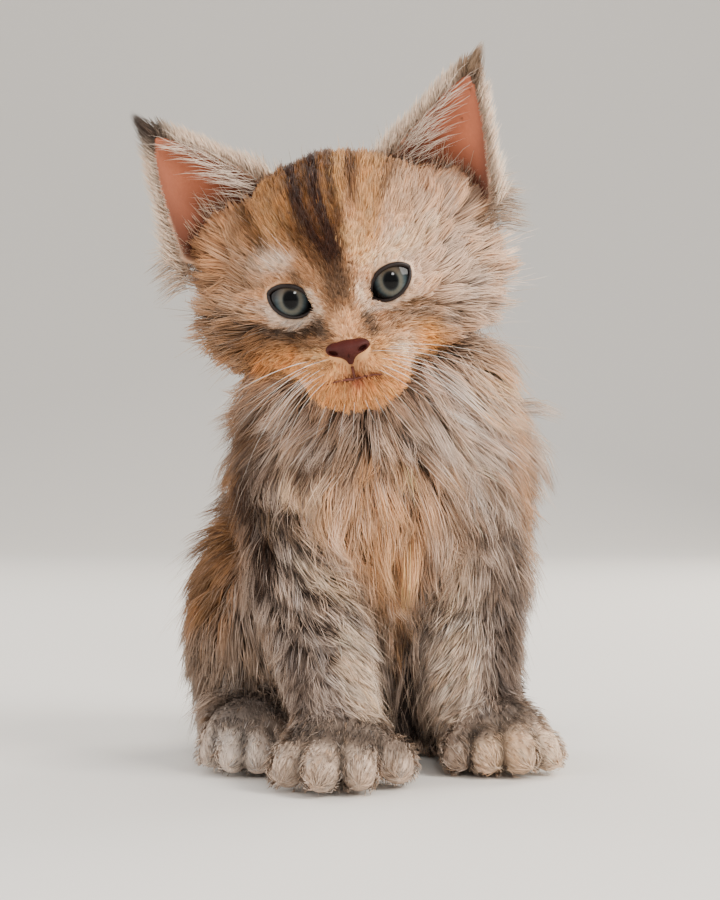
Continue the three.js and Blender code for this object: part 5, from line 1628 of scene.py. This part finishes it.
# =====================================================================
# whiskers and brow hairs
# =====================================================================
def whiskers():
    rs = np.random.RandomState(21)
    Vs, Fs = [], []
    off = 0

    def one(root, d0, d1, length, r0):
        nonlocal off
        t = np.linspace(0, 1, 14)[:, None]
        d0, d1 = unit(np.array([d0], float))[0], unit(np.array([d1], float))[0]
        step = unit(d0 * (1 - t) + d1 * t)
        P = root + np.concatenate([[np.zeros(3)], np.cumsum(step[:-1] * length / 13, 0)])
        V, Fc = tube(P @ HEAD_R.T + HEAD_O, r0 * (1 - 0.85 * t[:, 0]), 5, closed=False)
        Vs.append(V)
        Fs.append(Fc + off)
        off += len(V)
    for s in (1, -1):
        for row in range(4):
            for k in range(4):
                x = 6.0 + 1.9 * k + 0.3 * row
                z = -20.2 - 1.75 * row + 0.15 * k
                y = -38.5 + 0.75 * k + 0.25 * row
                L = rs.uniform(20, 34) * (1.0 if k > 1 else 0.75)
                one(np.array([x * s, y, z]), (s * 0.9, -0.45 + 0.16 * k, -0.12 - 0.13 * row + rs.normal() * 0.06),
                    (s * (0.85 - 0.10 * row), 0.35, -0.55 - 0.25 * row + rs.normal() * 0.12), L, 0.055)
        for k in range(4):
            one(np.array([(10.5 + 1.6 * k) * s, -27.2 + 0.5 * k, 5.6 - 0.2 * k]), (s * (0.2 + 0.15 * k), -0.8, 0.7),
                (s * (0.5 + 0.1 * k), 0.2, 0.7), rs.uniform(9, 14), 0.05)
        for k in range(4):
            one(np.array([(1.5 + 2.6 * k) * s, -34.5 + k, -33.0]), (s * (0.2 + 0.2 * k), -0.5, -1), (s * 0.3, 0.2, -1), rs.uniform(8, 14), 0.035)
    return np.concatenate(Vs), np.concatenate(Fs)


V, Fc = whiskers()
o = make_mesh("whiskers", V, Fc)
o.data.materials.append(MAT_WHISKER)
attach(o, "root")

# =====================================================================
# floor, light and camera
# =====================================================================
prof = [(-4.0, 0.0), (0.0, 0.0), (1.2, 0.0)]
prof += [(1.2 + 0.9 * math.sin(a), 0.9 - 0.9 * math.cos(a)) for a in np.linspace(0, math.pi / 2, 17)[1:]]
prof += [(2.1, 4.0)]
fverts = [(x, y, z) for y, z in prof for x in (-5.0, 5.0)]
ffaces = [(2 * i, 2 * i + 1, 2 * i + 3, 2 * i + 2) for i in range(len(prof) - 1)]
fme = bpy.data.meshes.new("floor")
fme.from_pydata(fverts, [], ffaces)
fme.update()
fme.polygons.foreach_set("use_smooth", np.ones(len(ffaces), bool))
floor = bpy.data.objects.new("floor", fme)
bpy.context.scene.collection.objects.link(floor)
fm = bpy.data.materials.new("floor")
fm.use_nodes = True
fb = fm.node_tree.nodes["Principled BSDF"]
fb.inputs["Base Color"].default_value = (0.74, 0.71, 0.67, 1)
fb.inputs["Roughness"].default_value = 0.6
floor.data.materials.append(fm)
floor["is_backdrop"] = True

world = bpy.data.worlds.new("world")
bpy.context.scene.world = world
world.use_nodes = True
world.node_tree.nodes["Background"].inputs[0].default_value = (0.93, 0.91, 0.885, 1)
world.node_tree.nodes["Background"].inputs[1].default_value = 0.85


def area(name, loc, target, size, energy, colour):
    d = bpy.data.lights.new(name, "AREA")
    d.size = size
    d.energy = energy
    d.color = colour
    o = bpy.data.objects.new(name, d)
    bpy.context.scene.collection.objects.link(o)
    o.location = loc
    o.rotation_euler = (Vector(target) - Vector(loc)).to_track_quat("-Z", "Y").to_euler()
    return o


area("key", (0.85, -0.62, 0.80), (0, 0, 0.1), 0.6, 23.0, (1.0, 0.955, 0.89))
area("catch", (0.10, -0.95, 0.50), (0, 0, 0.13), 0.13, 3.2, (1.0, 0.98, 0.95))
area("fill", (-0.9, -0.5, 0.35), (0, 0, 0.1), 0.9, 7.0, (1.0, 0.98, 0.96))
area("rim", (0.75, 0.75, 0.6), (0, 0, 0.12), 0.6, 17.0, (1.0, 0.94, 0.85))
area("back", (-0.7, 0.8, 0.8), (0, 0, 0.1), 0.7, 8.0, (1.0, 0.98, 0.95))

cam = bpy.data.cameras.new("camera")
cam.lens = 36 * 2128 / 900
cam.sensor_width = 36
cam.clip_start = 0.01
co = bpy.data.objects.new("camera", cam)
bpy.context.scene.collection.objects.link(co)
co.location = Vector(to_row(np.array([-5.5, -560.0, 90.7])).tolist())
co.rotation_euler = (math.pi / 2, 0, 0)
bpy.context.scene.camera = co

bpy.context.view_layer.update()
tot = sum(len(o.data.polygons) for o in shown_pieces() if o.name.startswith("coat"))
print("coat faces", tot, "time", round(time.time() - T0, 1))
